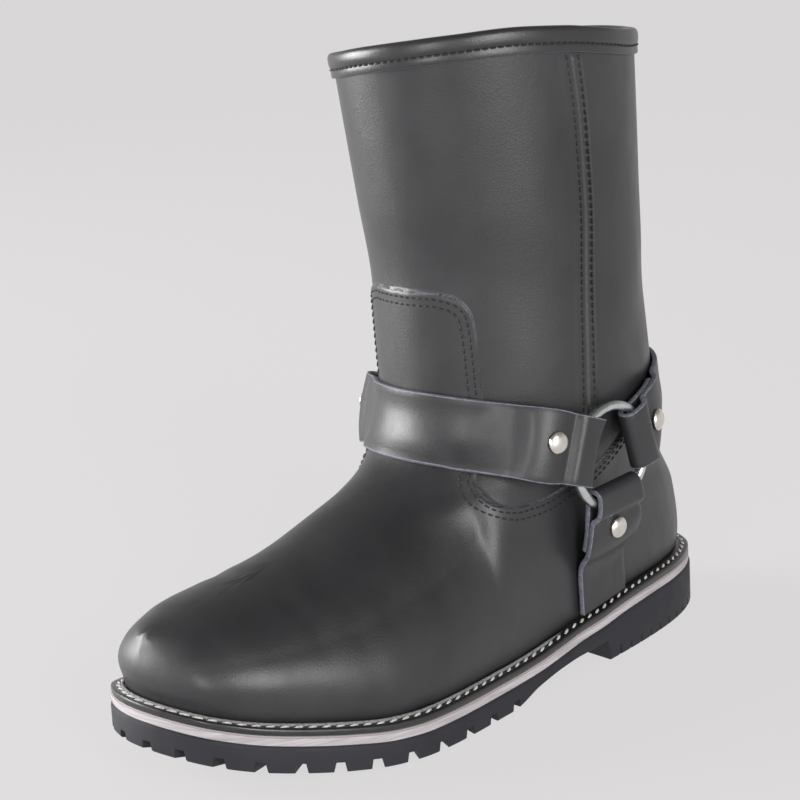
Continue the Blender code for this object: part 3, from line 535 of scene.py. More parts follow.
def edge_notches(first, last, zone):
    """Notches through the edge between two places along it, from just outside to inward."""
    outside = edge_walk(-2.5)
    inside = edge_walk(zone["notch_length"])
    total = edge_walk(0.0)[1][-1]
    share_out = outside[1][-1] / total
    share_in = inside[1][-1] / total
    half = zone["notch_width"] / 2.0
    count = int(round((last - first) / zone["pitch"]))
    blocks = []
    for k in range(count + 1):
        middle = first + (last - first) * k / count
        corners = [
            on_walk(outside, (middle - half) * share_out),
            on_walk(outside, (middle + half) * share_out),
            on_walk(inside, (middle + half) * share_in),
            on_walk(inside, (middle - half) * share_in),
        ]
        blocks.append(tread_block(corners, 0.2, zone["depth"]))
    return blocks


def channel(first, last, zone):
    """Groove that runs along inside the edge lugs, between two places along the edge."""
    near = edge_walk(zone["channel_inset"])
    far = edge_walk(zone["channel_inset"] + zone["channel_width"])
    total = edge_walk(0.0)[1][-1]
    count = int(round((last - first) / CHANNEL_STEP))
    points, faces = [], []
    for k in range(count + 1):
        place = (first + (last - first) * k / count) / total
        for walk in (near, far):
            x, y = on_walk(walk, place * walk[1][-1])
            points += [(x, y, underside(x) - CUT_BELOW), (x, y, underside(x) + zone["depth"])]
    for k in range(count):
        a, b = 4 * k, 4 * k + 4
        faces += [(a, b, b + 1, a + 1), (a + 2, a + 3, b + 3, b + 2)]
        faces += [(a, a + 2, b + 2, b), (a + 1, b + 1, b + 3, a + 3)]
    end = 4 * count
    faces += [(0, 1, 3, 2), (end, end + 2, end + 3, end + 1)]
    return points, faces


def cross_bars(zone):
    """Grooves straight across the tread, between the channels of both sides."""
    inset = zone["channel_inset"] + zone["channel_width"] - 1.0
    half = zone["bar_width"] / 2.0
    blocks = []
    for x in zone["bars"]:
        ends = np.array([x - half, x + half])
        outer = sole_side(OUTER, inset, ends)
        inner = sole_side(INNER, inset, ends)
        blocks.append(tread_block([outer[0], outer[1], inner[1], inner[0]], 0.1, zone["depth"]))
    return blocks


def length_at(along):
    """Length round the outer edge, from the heel, to a place along the boot."""
    line, length = edge_walk(0.0)
    toe = int(np.argmax(line[:, 0]))
    return float(np.interp(along, line[:toe, 0], length[:toe]))


def strap_seat(along, height, side):
    """Points on the upper, moved out to where a strap's underside lies."""
    around = around_of(along, height)
    above_layer = smooth((height - overlay_edge(around)) / 14.0)
    behind = smooth((88.0 - along) / 20.0)
    clearance = STRAP_CLEARANCE - REAR_TUCK * above_layer * behind
    return upper_face(side * around, height, clearance)


def seat_plane(side):
    """Distance out from the axis of the flat under a ring and the strap ends that hold it."""
    spread = np.linspace(-25.0, 25.0, 21)
    along, height = np.meshgrid(RING_ALONG + spread, RING_HEIGHT + spread)
    return float(np.max(side * strap_seat(along, height, side)[..., 1]))


SEAT = {OUTER: seat_plane(OUTER), INNER: seat_plane(INNER)}
RING_ACROSS = {side: SEAT[side] + STRAP_THICKNESS + GAP + WIRE_RADIUS for side in (OUTER, INNER)}


def lay_flat(aim, place, side, sizes):
    """Strap points near a ring, brought out to the flat under it and kept square to it."""
    distance = np.hypot(aim[:, 0] - RING_ALONG, aim[:, 2] - RING_HEIGHT)
    reach, blend = sizes["flat"]
    share = 1.0 - smooth((distance - reach) / blend)[:, None]
    seat = np.where(side > 0, SEAT[OUTER], SEAT[INNER])
    flat = aim.copy()
    flat[:, 1] = side * np.maximum(seat, side * place[:, 1])
    return place + (flat - place) * share


class SideTrack:
    """Course of a strap round the front or the back, from one ring to the other."""

    def __init__(self, forward, sizes):
        self.forward = forward
        self.sizes = sizes
        self.course = Curve(sizes["distance"], sizes["course"])
        self.params = np.linspace(math.pi / 2.0, -math.pi / 2.0, 361)
        flat = np.zeros(len(self.params))
        self.rise = flat
        self.tilt = flat
        for _ in range(4):
            line = self.leave(self.params, flat)
            distance = np.abs(line[:, 0] - RING_ALONG)
            self.rise = self.course(distance)
            slope = self.course(distance + 0.5) - self.course(np.maximum(distance - 0.5, 0.0))
            self.tilt = np.arctan(slope)

    def ray(self, turn, width, reach):
        """Point at a distance from the middle of the boot, at a turn and a width across the strap."""
        rise = np.interp(-turn, -self.params, self.rise)
        tilt = np.interp(-turn, -self.params, self.tilt)
        along = RING_ALONG + self.forward * (reach * np.cos(turn) - width * np.sin(tilt))
        across = reach * np.sin(turn)
        return np.stack([along, across, RING_HEIGHT + rise + width * np.cos(tilt)], axis=1)

    def outside(self, point):
        """Whether a point is clear of the upper."""
        along, across, height = point.T
        side = np.where(across >= 0.0, 1.0, -1.0)
        half = np.where(side > 0.0, half_width(along, height, OUTER), half_width(along, height, INNER))
        out = half + side * upper_axis(along, height)
        beyond = (along <= back_line(height)) | (along >= front_line(height))
        return beyond | (np.abs(across) >= out)

    def leave(self, turn, width):
        """Where the upper ends on the way out from the middle."""
        low = np.zeros(len(turn))
        high = np.full(len(turn), 160.0)
        for _ in range(34):
            middle = (low + high) / 2.0
            out = self.outside(self.ray(turn, width, middle))
            high = np.where(out, middle, high)
            low = np.where(out, low, middle)
        return self.ray(turn, width, high)

    def points(self, turn, width):
        met = self.leave(turn, width)
        side = np.where(turn >= 0.0, 1.0, -1.0)
        place = strap_seat(met[:, 0], met[:, 2], side)
        spare = INSTEP_SPARE * smooth((place[:, 0] - RING_ALONG - 20.0) / 20.0)
        outward = place - met
        outward /= np.linalg.norm(outward, axis=1, keepdims=True)
        aim = met.copy()
        tilt = np.interp(-turn, -self.params, self.tilt)
        aim[:, 0] = self.leave(turn, 0.0 * width)[:, 0] - self.forward * width * np.sin(tilt)
        return lay_flat(aim, place + outward * spare[:, None], side, self.sizes)


class DownTrack:
    """Course of a strap from a ring down to the welt."""

    def __init__(self, side, sizes):
        self.side = side
        self.sizes = sizes
        self.course = Curve(sizes["distance"], sizes["course"])
        self.params = np.linspace(0.0, 80.0, 321)

    def points(self, down, width):
        shift = self.course(down)
        lean = np.arctan(self.course(down + 0.5) - self.course(np.maximum(down - 0.5, 0.0)))
        along = RING_ALONG + shift + width * np.cos(lean)
        height = RING_HEIGHT - down + width * np.sin(lean)
        low = np.maximum(height, feather(along))
        place = strap_seat(along, low, self.side)
        place[:, 2] += height - low
        aim = np.stack([along, place[:, 1], height], axis=1)
        return lay_flat(aim, place, self.side, self.sizes)


class Strap:
    """Places points given by length along a course, width across it and height over it."""

    def __init__(self, track, two_ended):
        self.track = track
        self.two_ended = two_ended
        line = track.points(track.params, np.zeros(len(track.params)))
        steps = np.linalg.norm(np.diff(line, axis=0), axis=1)
        self.lengths = np.concatenate([[0.0], np.cumsum(steps)])
        self.total = float(self.lengths[-1])

    def base(self, at, width):
        return self.track.points(np.interp(at, self.lengths, self.track.params), width)

    def place(self, at, width, lift):
        at = np.asarray(at, float)
        width = np.asarray(width, float) + 0.0 * at
        step = 1.5
        forth = np.clip(at + step, 0.0, self.total)
        backward = np.clip(at - step, 0.0, self.total)
        level = self.base(forth, width) - self.base(backward, width)
        across = self.base(at, width + step) - self.base(at, width - step)
        outward = np.cross(across, level)
        middle = self.base(at, width)
        away = middle - [RING_ALONG, 0.0, 0.0]
        away[:, 2] = 0.0
        outward *= np.sign(np.sum(outward * away, axis=1))[:, None]
        outward /= np.linalg.norm(outward, axis=1, keepdims=True)
        return middle + outward * np.asarray(lift, float)[:, None]


def strap_end(fold):
    """Middle of the leather from its tail, round the ring's wire, to where one layer is left.

    Each row is a distance from the ring's centre and a height over the boot.
    """
    low = STRAP_THICKNESS / 2.0
    wire_height = STRAP_THICKNESS + GAP + WIRE_RADIUS
    radius = wire_height - low
    high = wire_height + radius
    double = low + STRAP_THICKNESS + GAP
    turn_at = fold + STRAP_THICKNESS / 2.0 + radius
    path = [(TAIL_END, low), (30.0, low), (22.0, low), (turn_at, low)]
    for k in range(1, 6):
        angle = math.radians(-90.0 - 30.0 * k)
        path.append((turn_at + radius * math.cos(angle), wire_height + radius * math.sin(angle)))
    path += [(turn_at, high), (RING_RADIUS, high)]
    for degrees in (60.0, 30.0):
        angle = math.radians(degrees)
        path.append((RING_RADIUS + radius * math.cos(angle), wire_height + radius * math.sin(angle)))
    drop = path[-1][1] - double
    path.append((path[-1][0] + drop / math.tan(math.radians(60.0)), double))
    path += [(31.0, double), (TAIL_END + 1.0, double), (TAIL_END + 5.0, (double + low) / 2.0)]
    path.append((TAIL_END + 9.0, low))
    return path


def side_strap_path(strap, fold):
    """Path of a strap that is folded round a ring at both ends."""
    end = strap_end(fold)
    first, last = end[-1][0], strap.total - end[-1][0]
    count = int(math.ceil((last - first) / 6.0))
    low = STRAP_THICKNESS / 2.0
    middle = [(first + (last - first) * k / count, low) for k in range(1, count)]
    return end + middle + [(strap.total - at, height) for at, height in reversed(end)]


def down_strap_path(strap, fold):
    """Path of a strap that is folded round a ring at its top and ends on the welt."""
    end = strap_end(fold)
    line = strap.base(strap.lengths, np.zeros(len(strap.lengths)))
    above = line[:, 2] - feather(line[:, 0]) - 2.0
    last = float(np.interp(0.0, -above, strap.lengths))
    first = end[-1][0]
    low = STRAP_THICKNESS / 2.0
    return end + [(first + (last - first) * k / 3.0, low) for k in (1, 2, 3)]


def boot_mesh(name, points, faces, materials, face_material=None, sharp_angle=35.0):
    """Object from points in millimetres, with a material number for each face."""
    mesh = bpy.data.meshes.new(name)
    places = (np.asarray(points, float) - [SOLE_LENGTH / 2.0, 0.0, 0.0]) * MM
    mesh.from_pydata(places.tolist(), [], [tuple(map(int, face)) for face in faces])
    for material in materials:
        mesh.materials.append(material)
    if face_material is not None:
        mesh.polygons.foreach_set("material_index", np.asarray(face_material, np.int32))
    cleaner = bmesh.new()
    cleaner.from_mesh(mesh)
    bmesh.ops.recalc_face_normals(cleaner, faces=cleaner.faces)
    cleaner.to_mesh(mesh)
    cleaner.free()
    mesh.shade_smooth()
    mesh.set_sharp_from_angle(angle=math.radians(sharp_angle))
    piece = bpy.data.objects.new(name, mesh)
    bpy.context.scene.collection.objects.link(piece)
    return piece


def settle(piece, slot, *nodes, body="boot"):
    """Tie a piece to its body and hide the CAD nodes that it stands for. The finish slot is not used."""
    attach(piece, body)
    if nodes:
        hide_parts(*nodes)


def rolled(rings, closed=True):
    """Points and faces of a skin through rings of equal length."""
    count = len(rings[0])
    faces = []
    for level in range(len(rings) - 1):
        faces += loop_faces(count, level * count, (level + 1) * count)
    if closed:
        faces += loop_faces(count, (len(rings) - 1) * count, 0)
    return np.concatenate(rings), faces


def end_caps(count, levels):
    """Faces over the first and the last ring of a skin."""
    last = (levels - 1) * count
    return [tuple(range(count)), tuple(range(last, last + count))]


def fine_angles():
    """Columns round the upper, closest at the side seam and at the edge of the front tab."""
    parts = []
    for first, last, step in COLUMN_STEPS:
        parts.append(np.linspace(first, last, int(round((last - first) / step)), endpoint=False))
    one_side = np.concatenate(parts + [[180.0]])
    return np.radians(np.concatenate([one_side, -one_side[1:-1][::-1]]))


def layer_edge(angles):
    """Height of the lower layer's edge at each column."""
    edge = overlay_edge(np.abs(angles))
    for _ in range(12):
        edge = overlay_edge(np.abs(lean(angles, edge)))
    return edge


def inside_layer(around, height):
    """How far each point lies inside the lower layer's edge, or minus how far outside."""
    line_angles = np.radians(np.concatenate([
        np.linspace(0.0, 132.0, 600), np.linspace(132.0, 152.0, 700), np.linspace(152.0, 180.0, 200)]))
    side = np.where(around >= 0.0, 1.0, -1.0)
    below = height < overlay_edge(np.abs(around))
    found = np.where(below, FAR_INSIDE, -FAR_INSIDE)
    near = (height > EDGE_BANDS[0][0]) & (height < EDGE_BANDS[0][1])
    near |= (height > EDGE_BANDS[1][0]) & (height < EDGE_BANDS[1][1])
    near |= (np.abs(around) > TAB_SPAN[0]) & (np.abs(around) < TAB_SPAN[1]) & (height > EDGE_BANDS[0][0])
    for sign in (1.0, -1.0):
        line = upper_point(sign * line_angles, overlay_edge(line_angles))
        chosen = np.argwhere(near & (side == sign))
        points = upper_point(around, height)
        for start in range(0, len(chosen), 2000):
            rows, columns = chosen[start:start + 2000].T
            gaps = points[rows, columns][:, None, :] - line[None, :, :]
            reach = np.sqrt(np.min(np.sum(gaps * gaps, axis=2), axis=1))
            found[rows, columns] = np.where(below[rows, columns], reach, -reach)
    return found


def foot_heights(angles):
    """Height at which each column meets the welt."""
    sample = np.linspace(14.0, 40.0, 200)
    found = []
    for angle in angles:
        foot = upper_point(np.full(200, angle), sample)
        found.append(float(np.interp(0.0, sample - feather(foot[:, 0]), sample)))
    return np.array(found) - SETTLED


def fine_heights(around, low, high, count):
    """Heights up one column, closer where the leather bends and where the layer's edge may run."""
    heights = np.linspace(low, high, 420)
    points = upper_point(lean(np.full(420, around), heights), heights)
    steps = np.diff(points, axis=0)
    lengths = np.linalg.norm(steps, axis=1)
    ways = steps / lengths[:, None]
    turns = np.arccos(np.clip(np.sum(ways[1:] * ways[:-1], axis=1), -1.0, 1.0))
    weight = np.ones(len(lengths))
    for first, last in EDGE_BANDS:
        weight += 2.2 * smooth((heights[1:] - first + 3.0) / 6.0) * smooth((last + 3.0 - heights[1:]) / 6.0)
    measure = np.concatenate([[0.0], np.cumsum(lengths * weight + 8.0 * np.concatenate([[0.0], turns]))])
    return np.interp(np.linspace(0.0, measure[-1], count + 1), measure, heights)


def folds(points):
    """How far the worn leather stands in or out at each point: creases and soft hollows."""
    along, across, height = points[..., 0], points[..., 1], points[..., 2]
    moved = np.zeros(along.shape)
    for fold in FOLDS:
        slant = np.radians(fold["slant"])
        dx = along - fold["along"]
        dz = height - fold["height"]
        over = dx * np.cos(slant) + dz * np.sin(slant)
        run = -dx * np.sin(slant) + dz * np.cos(slant)
        over = over + fold["bend"] * (run / fold["reach"]) ** 2
        trough = -np.exp(-(over / fold["width"]) ** 2)
        lip = 0.45 * np.exp(-((np.abs(over) - 1.9 * fold["width"]) / fold["width"]) ** 2)
        window = np.exp(-(run / fold["reach"]) ** 4)
        side = smooth(fold["side"] * across / 12.0 + 0.5) if fold["side"] else 1.0
        moved += fold["depth"] * (trough + lip) * window * side
    return moved


def seam_lap(degrees):
    """Height of the side seam's lapped leather across the seam."""
    at = [88.0, 90.6, 91.4, 93.6, 94.4, 95.2, 95.8, 97.6, 99.4, 101.5]
    rise = [0.0, 0.0, 0.42, 0.5, 0.86, 0.86, 0.22, 0.3, 0.22, 0.0]
    return np.interp(degrees, at, rise)


def upper_skin():
    """Rings of the upper from its foot over the collar and down its inner face."""
    angles = fine_angles()
    foot = foot_heights(angles)
    rim = collar(angles)
    columns = [fine_heights(a, f, r, OUTER_LEVELS) for a, f, r in zip(angles, foot, rim)]
    heights = np.array(columns).T
    turned = lean(angles, heights)
    reach = inside_layer(turned, heights)
    at = [step for step, _ in EDGE_ROUND]
    layer = OVERLAY_STEP * np.interp(reach, at, [rise for _, rise in EDGE_ROUND])
    layer = layer * smooth((heights - foot) / 1.2)
    fade_at = rim - BINDING_HEIGHT - 0.5
    lap = seam_lap(np.degrees(np.abs(angles))) * smooth((fade_at - heights) / 1.5)
    lap = lap * smooth((-reach - 0.3) / 1.2)
    proud = layer + lap
    points = upper_face(turned, heights, proud)
    outside = upper_face(turned, heights, proud + folds(points))
    outside[-1, :, 2] = rim
    inside = []
    for share in np.linspace(1.0, 0.0, INNER_LEVELS):
        level = foot + (rim - foot) * share
        inside.append(upper_face(lean(angles, level), level, -WALL))
    inside[0][:, 2] = rim
    inside[-1][:, 2] = outside[0][:, 2]
    following = np.roll(reach, -1, axis=1)
    middle = (reach[:-1] + reach[1:] + following[:-1] + following[1:]) / 4.0
    cut = (middle > CUT_FACE[0]) & (middle < CUT_FACE[1])
    numbers = np.concatenate([cut.astype(int).ravel(), np.full((INNER_LEVELS + 1) * len(angles), 2)])
    return list(outside) + inside, numbers


def build_upper(settings):
    leather = smooth_leather("boot_leather", settings.upper_colour, settings.upper_roughness, settings)
    edge = cut_edge("leather_cut_edge", shade(settings.edge_colour, 0.5))
    lining = lining_leather("boot_lining", settings.lining_colour)
    rings, numbers = upper_skin()
    points, faces = rolled(rings)
    piece = boot_mesh("boot_upper", points, faces, [leather, edge, lining], numbers, 50.0)
    settle(piece, "upper_leather", "upper")


def build_binding(settings):
    leather = smooth_leather("binding_leather", settings.upper_colour, settings.binding_roughness, settings)
    edge = cut_edge("binding_cut_edge", settings.edge_colour)
    angles = fine_angles()
    rim = collar(angles)
    rings, numbers = [], []
    for proud, over_rim, number in BINDING_SECTION:
        level = rim + min(over_rim, 0.0)
        ring = upper_face(lean(angles, level), level, proud)
        ring[:, 2] = rim + over_rim
        rings.append(ring)
        numbers.append(number)
    points, faces = rolled(rings)
    piece = boot_mesh("boot_binding", points, faces, [leather, edge], np.repeat(numbers, len(angles)), 40.0)
    settle(piece, "upper_leather", "collar_binding")


def fine_stations():
    share = np.linspace(0.0, math.pi, SOLE_STATIONS + 1)[1:-1]
    even = SOLE_LENGTH * (1.0 - np.cos(share)) / 2.0
    breast = np.array([HEEL_BREAST, HEEL_BREAST + 2.0])
    far = np.min(np.abs(even[:, None] - breast), axis=1) > 0.7
    return np.sort(np.concatenate([even[far], breast]))


def welt_top(along):
    return midsole_top(along) + GAP + WELT_THICKNESS


def fine_ring(inset, height):
    """Dense outline of the sole moved inward, raised to a height along the sole."""
    stations = fine_stations()
    outer = sole_side(OUTER, inset, stations)
    inner = sole_side(INNER, inset, stations)
    heel = [[inset, sole_axis(0.0)]]
    toe = [[SOLE_LENGTH - inset, sole_axis(SOLE_LENGTH)]]
    return raise_ring(np.concatenate([heel, outer, toe, inner[::-1]]), height)


def slab(name, section, height, materials, numbers=None):
    """Capped slab of the sole's outline, from a section of insets and heights going up."""
    rings = [fine_ring(inset, lambda x, up=up: height(x) + up) for inset, up in section]
    points, faces = rolled(rings, closed=False)
    count = len(rings[0])
    face_numbers = []
    for number in numbers or [0] * (len(rings) - 1):
        face_numbers += [number] * count
    caps = cap_faces(count, 0) + cap_faces(count, (len(rings) - 1) * count)
    return boot_mesh(name, points, faces + caps, materials, face_numbers + [0] * len(caps), 40.0)


def build_insole(settings):
    board = insole_board("insole_board_grain", settings.board_colour)
    inset = WELT_WIDTH + GAP
    section = [(inset, 0.0), (inset, INSOLE_THICKNESS - 0.8), (inset + 0.3, INSOLE_THICKNESS - 0.3),
               (inset + 0.9, INSOLE_THICKNESS)]
    piece = slab("boot_insole", section, lambda x: midsole_top(x) + GAP, [board])
    settle(piece, "insole_board", "insole")


def build_welt(settings):
    leather = welt_leather("welt_gloss", settings.welt_colour)
    rings = [fine_ring(inset, lambda x, up=up: midsole_top(x) + GAP + up) for inset, up in WELT_SECTION]
    points, faces = rolled(rings)
    piece = boot_mesh("boot_welt", points, faces, [leather], None, 50.0)
    settle(piece, "welt_leather", "welt")


def build_midsole(settings):
    tan = midsole_edge("midsole_tan", settings.midsole_colour, settings.midsole_dark)
    dark = midsole_edge("midsole_top_line", settings.midsole_dark, settings.midsole_dark)
    thick = MIDSOLE_THICKNESS
    section = [(0.9, -0.2), (0.6, 0.0), (0.55, thick * 0.4), (0.55, thick - 0.75), (0.75, thick - 0.6),
               (0.8, thick), (1.4, thick + 0.15)]
    piece = slab("boot_midsole", section, lambda x: rubber_top(x) + GAP, [tan, dark], [0, 0, 0, 1, 1, 1])
    settle(piece, "midsole_edge", "midsole")


def cut_rubber(target, name, solid):
    """Take a solid out of the rubber, and keep the cut mesh."""
    points, faces = solid
    cutter = boot_mesh(name, points, faces, [])
    modifier = target.modifiers.new(name, "BOOLEAN")
    modifier.operation = "DIFFERENCE"
    modifier.object = cutter
    view = bpy.context.evaluated_depsgraph_get()
    mesh = bpy.data.meshes.new_from_object(target.evaluated_get(view))
    target.modifiers.clear()
    target.data = mesh
    bpy.data.objects.remove(cutter, do_unlink=True)


def build_outsole(settings):
    rubber = sole_rubber("tread_rubber", settings.rubber_colour)
    rings = [fine_ring(inset, lambda x, up=up: underside(x) + up) for inset, up in RUBBER_FOOT]
    rings += [fine_ring(inset, lambda x, up=up: rubber_top(x) + up) for inset, up in RUBBER_HEAD]
    points, faces = rolled(rings, closed=False)
    count = len(rings[0])
    caps = cap_faces(count, 0) + cap_faces(count, (len(rings) - 1) * count)
    piece = boot_mesh("boot_outsole", points, faces + caps, [rubber], None, 28.0)
    total = float(edge_walk(0.0)[1][-1])
    toe = length_at(SOLE_LENGTH)
    for zone in TREAD:
        reach = length_at(zone["ends"])
        first, last = (reach, 2.0 * toe - reach) if zone["front"] else (total - reach, total + reach)
        cut_rubber(piece, zone["name"] + "_notches", joined(edge_notches(first, last, zone)))
        spare = zone["pitch"] * 0.4
        cut_rubber(piece, zone["name"] + "_channel", channel(first + spare, last - spare, zone))
        cut_rubber(piece, zone["name"] + "_bars", joined(cross_bars(zone)))
    piece.data.shade_smooth()
    piece.data.set_sharp_from_angle(angle=math.radians(28.0))
    settle(piece, "sole_rubber", "outsole")


def rounded_path(path, rounds=2, longest=2.5):
    """Path with its corners cut soft and its long stretches divided."""
    path = np.array(path, float)
    for _ in range(rounds):
        near = path[:-1] * 0.75 + path[1:] * 0.25
        far = path[:-1] * 0.25 + path[1:] * 0.75
        middle = np.stack([near, far], axis=1).reshape(-1, 2)
        path = np.concatenate([path[:1], middle, path[-1:]])
    dense = [path[0]]
    for start, end in zip(path[:-1], path[1:]):
        count = max(1, int(math.ceil(np.linalg.norm(end - start) / longest)))
        dense += [start + (end - start) * k / count for k in range(1, count + 1)]
    return np.array(dense)


def strap_section():
    """Corners of a strap's section: share of half its width, inset, share of half its thickness."""
    rows = [(share, 0.0, 1.0, 0) for share in np.linspace(-1.0, 1.0, 11)]
    rows[0] = (-1.0, 0.55, 1.0, 0)
    rows[-1] = (1.0, 0.55, 1.0, 1)
    side = [(1.0, 0.14, 0.86, 1), (1.0, 0.0, 0.45, 1), (1.0, 0.0, -0.45, 1), (1.0, 0.14, -0.86, 1)]
    under = [(share, 0.0, -1.0, 0) for share in np.linspace(1.0, -1.0, 11)]
    under[0] = (1.0, 0.55, -1.0, 0)
    under[-1] = (-1.0, 0.55, -1.0, 1)
    other = [(-1.0, 0.14, -0.86, 1), (-1.0, 0.0, -0.45, 1), (-1.0, 0.0, 0.45, 1), (-1.0, 0.14, 0.86, 1)]
    return rows + side + under + other


def strap_skin(strap, path, sizes):
    """Rings across a strap at each point of its path, and the material of each face between them."""
    path = rounded_path(path)
    ways = np.diff(path, axis=0)
    ways /= np.linalg.norm(ways, axis=1, keepdims=True)
    normals = np.stack([-ways[:, 1], ways[:, 0]], axis=1)
    joint = np.concatenate([normals[:1], normals[1:] + normals[:-1], normals[-1:]])
    joint /= np.linalg.norm(joint, axis=1, keepdims=True)
    to_ring = path[:, 0]
    if strap.two_ended:
        to_ring = np.minimum(to_ring, strap.total - to_ring)
    widening = smooth((to_ring - 12.0) / 22.0) * (sizes["width"] - sizes["fold_width"])
    half_widths = (sizes["fold_width"] + widening) / 2.0
    lines, numbers = [], []
    for share, inset, level, number in strap_section():
        off = path + joint * STRAP_THICKNESS / 2.0 * level
        bow = sizes["bow"] * share ** 2 * (1.0 - smooth((to_ring - sizes["fold"] - 2.0) / 12.0))
        if strap.two_ended:
            bow = np.where(path[:, 0] > strap.total / 2.0, -bow, bow)
        across = share * half_widths - np.sign(share) * inset
        lines.append(strap.place(off[:, 0] - bow, across, off[:, 1]))
        numbers.append(number)
    return np.stack(lines, axis=1), numbers


def strap_piece(name, strap, path, sizes, materials, node):
    grid, numbers = strap_skin(strap, path, sizes)
    count = grid.shape[1]
    points, faces = rolled(list(grid), closed=False)
    face_numbers = numbers * (len(grid) - 1)
    faces += end_caps(count, len(grid))
    piece = boot_mesh(name, points, faces, materials, face_numbers + [1, 1], 50.0)
    settle(piece, "strap_leather", node)


def rivet_piece(name, strap, at, width, material, node):
    """Domed cap with a rolled rim on a strap's two layers."""
    lift = 2.0 * STRAP_THICKNESS + GAP
    seat = strap.place([at], width, [lift])[0]
    outward = strap.place([at], width, [lift + 1.0])[0] - seat
    aside = np.cross(outward, [0.0, 0.0, 1.0])
    aside /= np.linalg.norm(aside)
    upward = np.cross(aside, outward)
    turn = np.linspace(0.0, 2.0 * math.pi, 40, endpoint=False)[:, None]
    rings = []
    for share, height in RIVET_SECTION:
        flat = (aside * np.cos(turn) + upward * np.sin(turn)) * RIVET_RADIUS * share
        rings.append(seat + outward * (height * RIVET_HEIGHT) + flat)
    points, faces = rolled(rings, closed=False)
    faces += end_caps(len(turn), len(rings))
    piece = boot_mesh(name, points, faces, [material], None, 60.0)
    settle(piece, "nickel", node)


def build_straps(leather_settings, metal_settings):
    leather = smooth_leather("strap_leather_face", leather_settings.strap_colour,
                             leather_settings.strap_roughness, leather_settings)
    edge = cut_edge("strap_cut_edge", leather_settings.edge_colour)
    nickel = plated_metal("rivet_nickel", metal_settings.rivet_colour, metal_settings.rivet_roughness)
    courses = {}
    for place, forward in (("front", 1.0), ("rear", -1.0)):
        sizes = STRAPS[place]
        strap = Strap(SideTrack(forward, sizes), True)
        courses[place] = strap
        path = side_strap_path(strap, sizes["fold"])
        strap_piece("boot_" + place + "_strap", strap, path, sizes, [leather, edge], place + "_strap")
    for side, word in ((OUTER, "outer"), (INNER, "inner")):
        sizes = STRAPS["down"]
        down = Strap(DownTrack(side, sizes), False)
        path = down_strap_path(down, sizes["fold"])
        node = "down_strap_" + word
        strap_piece("boot_" + node, down, path, sizes, [leather, edge], node)
        node = "rivet_down_" + word
        rivet_piece("boot_" + node, down, *sizes["rivet"], nickel, node)
        for place, strap in courses.items():
            at, width = STRAPS[place]["rivet"]
            at = at if side == OUTER else strap.total - at
            node = "rivet_" + place + "_" + word
            rivet_piece("boot_" + node, strap, at, width, nickel, node)


def build_rings(settings):
    nickel = plated_metal("ring_nickel", settings.ring_colour, settings.ring_roughness)
    turn = np.linspace(0.0, 2.0 * math.pi, 144, endpoint=False)
    wire = np.linspace(0.0, 2.0 * math.pi, 28, endpoint=False)
    for side, word in ((OUTER, "outer"), (INNER, "inner")):
        rings = []
        for angle in turn:
            radius = RING_RADIUS + WIRE_RADIUS * np.cos(wire)
            rings.append(np.stack([
                RING_ALONG + radius * math.cos(angle),
                side * RING_ACROSS[side] + WIRE_RADIUS * np.sin(wire),
                RING_HEIGHT + radius * math.sin(angle),
            ], axis=1))
        points, faces = rolled(rings)
        piece = boot_mesh("boot_ring_" + word, points, faces, [nickel], None, 60.0)
        settle(piece, "nickel", "ring_" + word, body="ring_" + word)


def spaced(line, outward, pitch, closed=False):
    """Places, directions and outward ways at an even pitch along a line."""
    if closed:
        line = np.concatenate([line, line[:1]])
        outward = np.concatenate([outward, outward[:1]])
    length = np.concatenate([[0.0], np.cumsum(np.linalg.norm(np.diff(line, axis=0), axis=1))])
    count = int(length[-1] / pitch)
    at = (np.arange(count) + 0.5) * length[-1] / count

    def sample(values, where):
        return np.stack([np.interp(where, length, values[:, k]) for k in range(3)], axis=1)

    ways = sample(line, np.minimum(at + 0.4, length[-1])) - sample(line, np.maximum(at - 0.4, 0.0))
    ways /= np.linalg.norm(ways, axis=1, keepdims=True)
    out = sample(outward, at)
    out /= np.linalg.norm(out, axis=1, keepdims=True)
    return sample(line, at), ways, out


def stitch_row(name, rows, length, radius, slant, lift, material, slot):
    """Raised stitches as one mesh, each a short thread that dips into the leather at its ends."""
    stations = np.array([-1.0, -0.82, -0.4, 0.0, 0.4, 0.82, 1.0])
    thick = np.array([0.3, 0.8, 1.0, 1.04, 1.0, 0.8, 0.3])
    sides = 8
    turn = np.linspace(0.0, 2.0 * math.pi, sides, endpoint=False)
    points, faces = [], []
    start = 0
    for centres, ways, out in rows:
        across = np.cross(out, ways)
        way = ways * math.cos(slant) + across * math.sin(slant)
        aside = np.cross(out, way)
        for k in range(len(centres)):
            for station, girth in zip(stations, thick):
                middle = centres[k] + way[k] * station * length / 2.0
                middle = middle + out[k] * (lift - 0.9 * radius * station ** 4)
                ring = aside[k] * np.cos(turn)[:, None] + out[k] * np.sin(turn)[:, None]
                points.append(middle + ring * radius * girth)
            for level in range(len(stations) - 1):
                faces += loop_faces(sides, start + level * sides, start + (level + 1) * sides)
            last = start + (len(stations) - 1) * sides
            faces += [tuple(range(start, start + sides)), tuple(range(last, last + sides))]
            start += len(stations) * sides
    piece = boot_mesh(name, np.concatenate(points), faces, [material], None, 70.0)
    settle(piece, slot)


def outward_of(around, height):
    return upper_face(around, height, 1.0) - upper_face(around, height, 0.0)


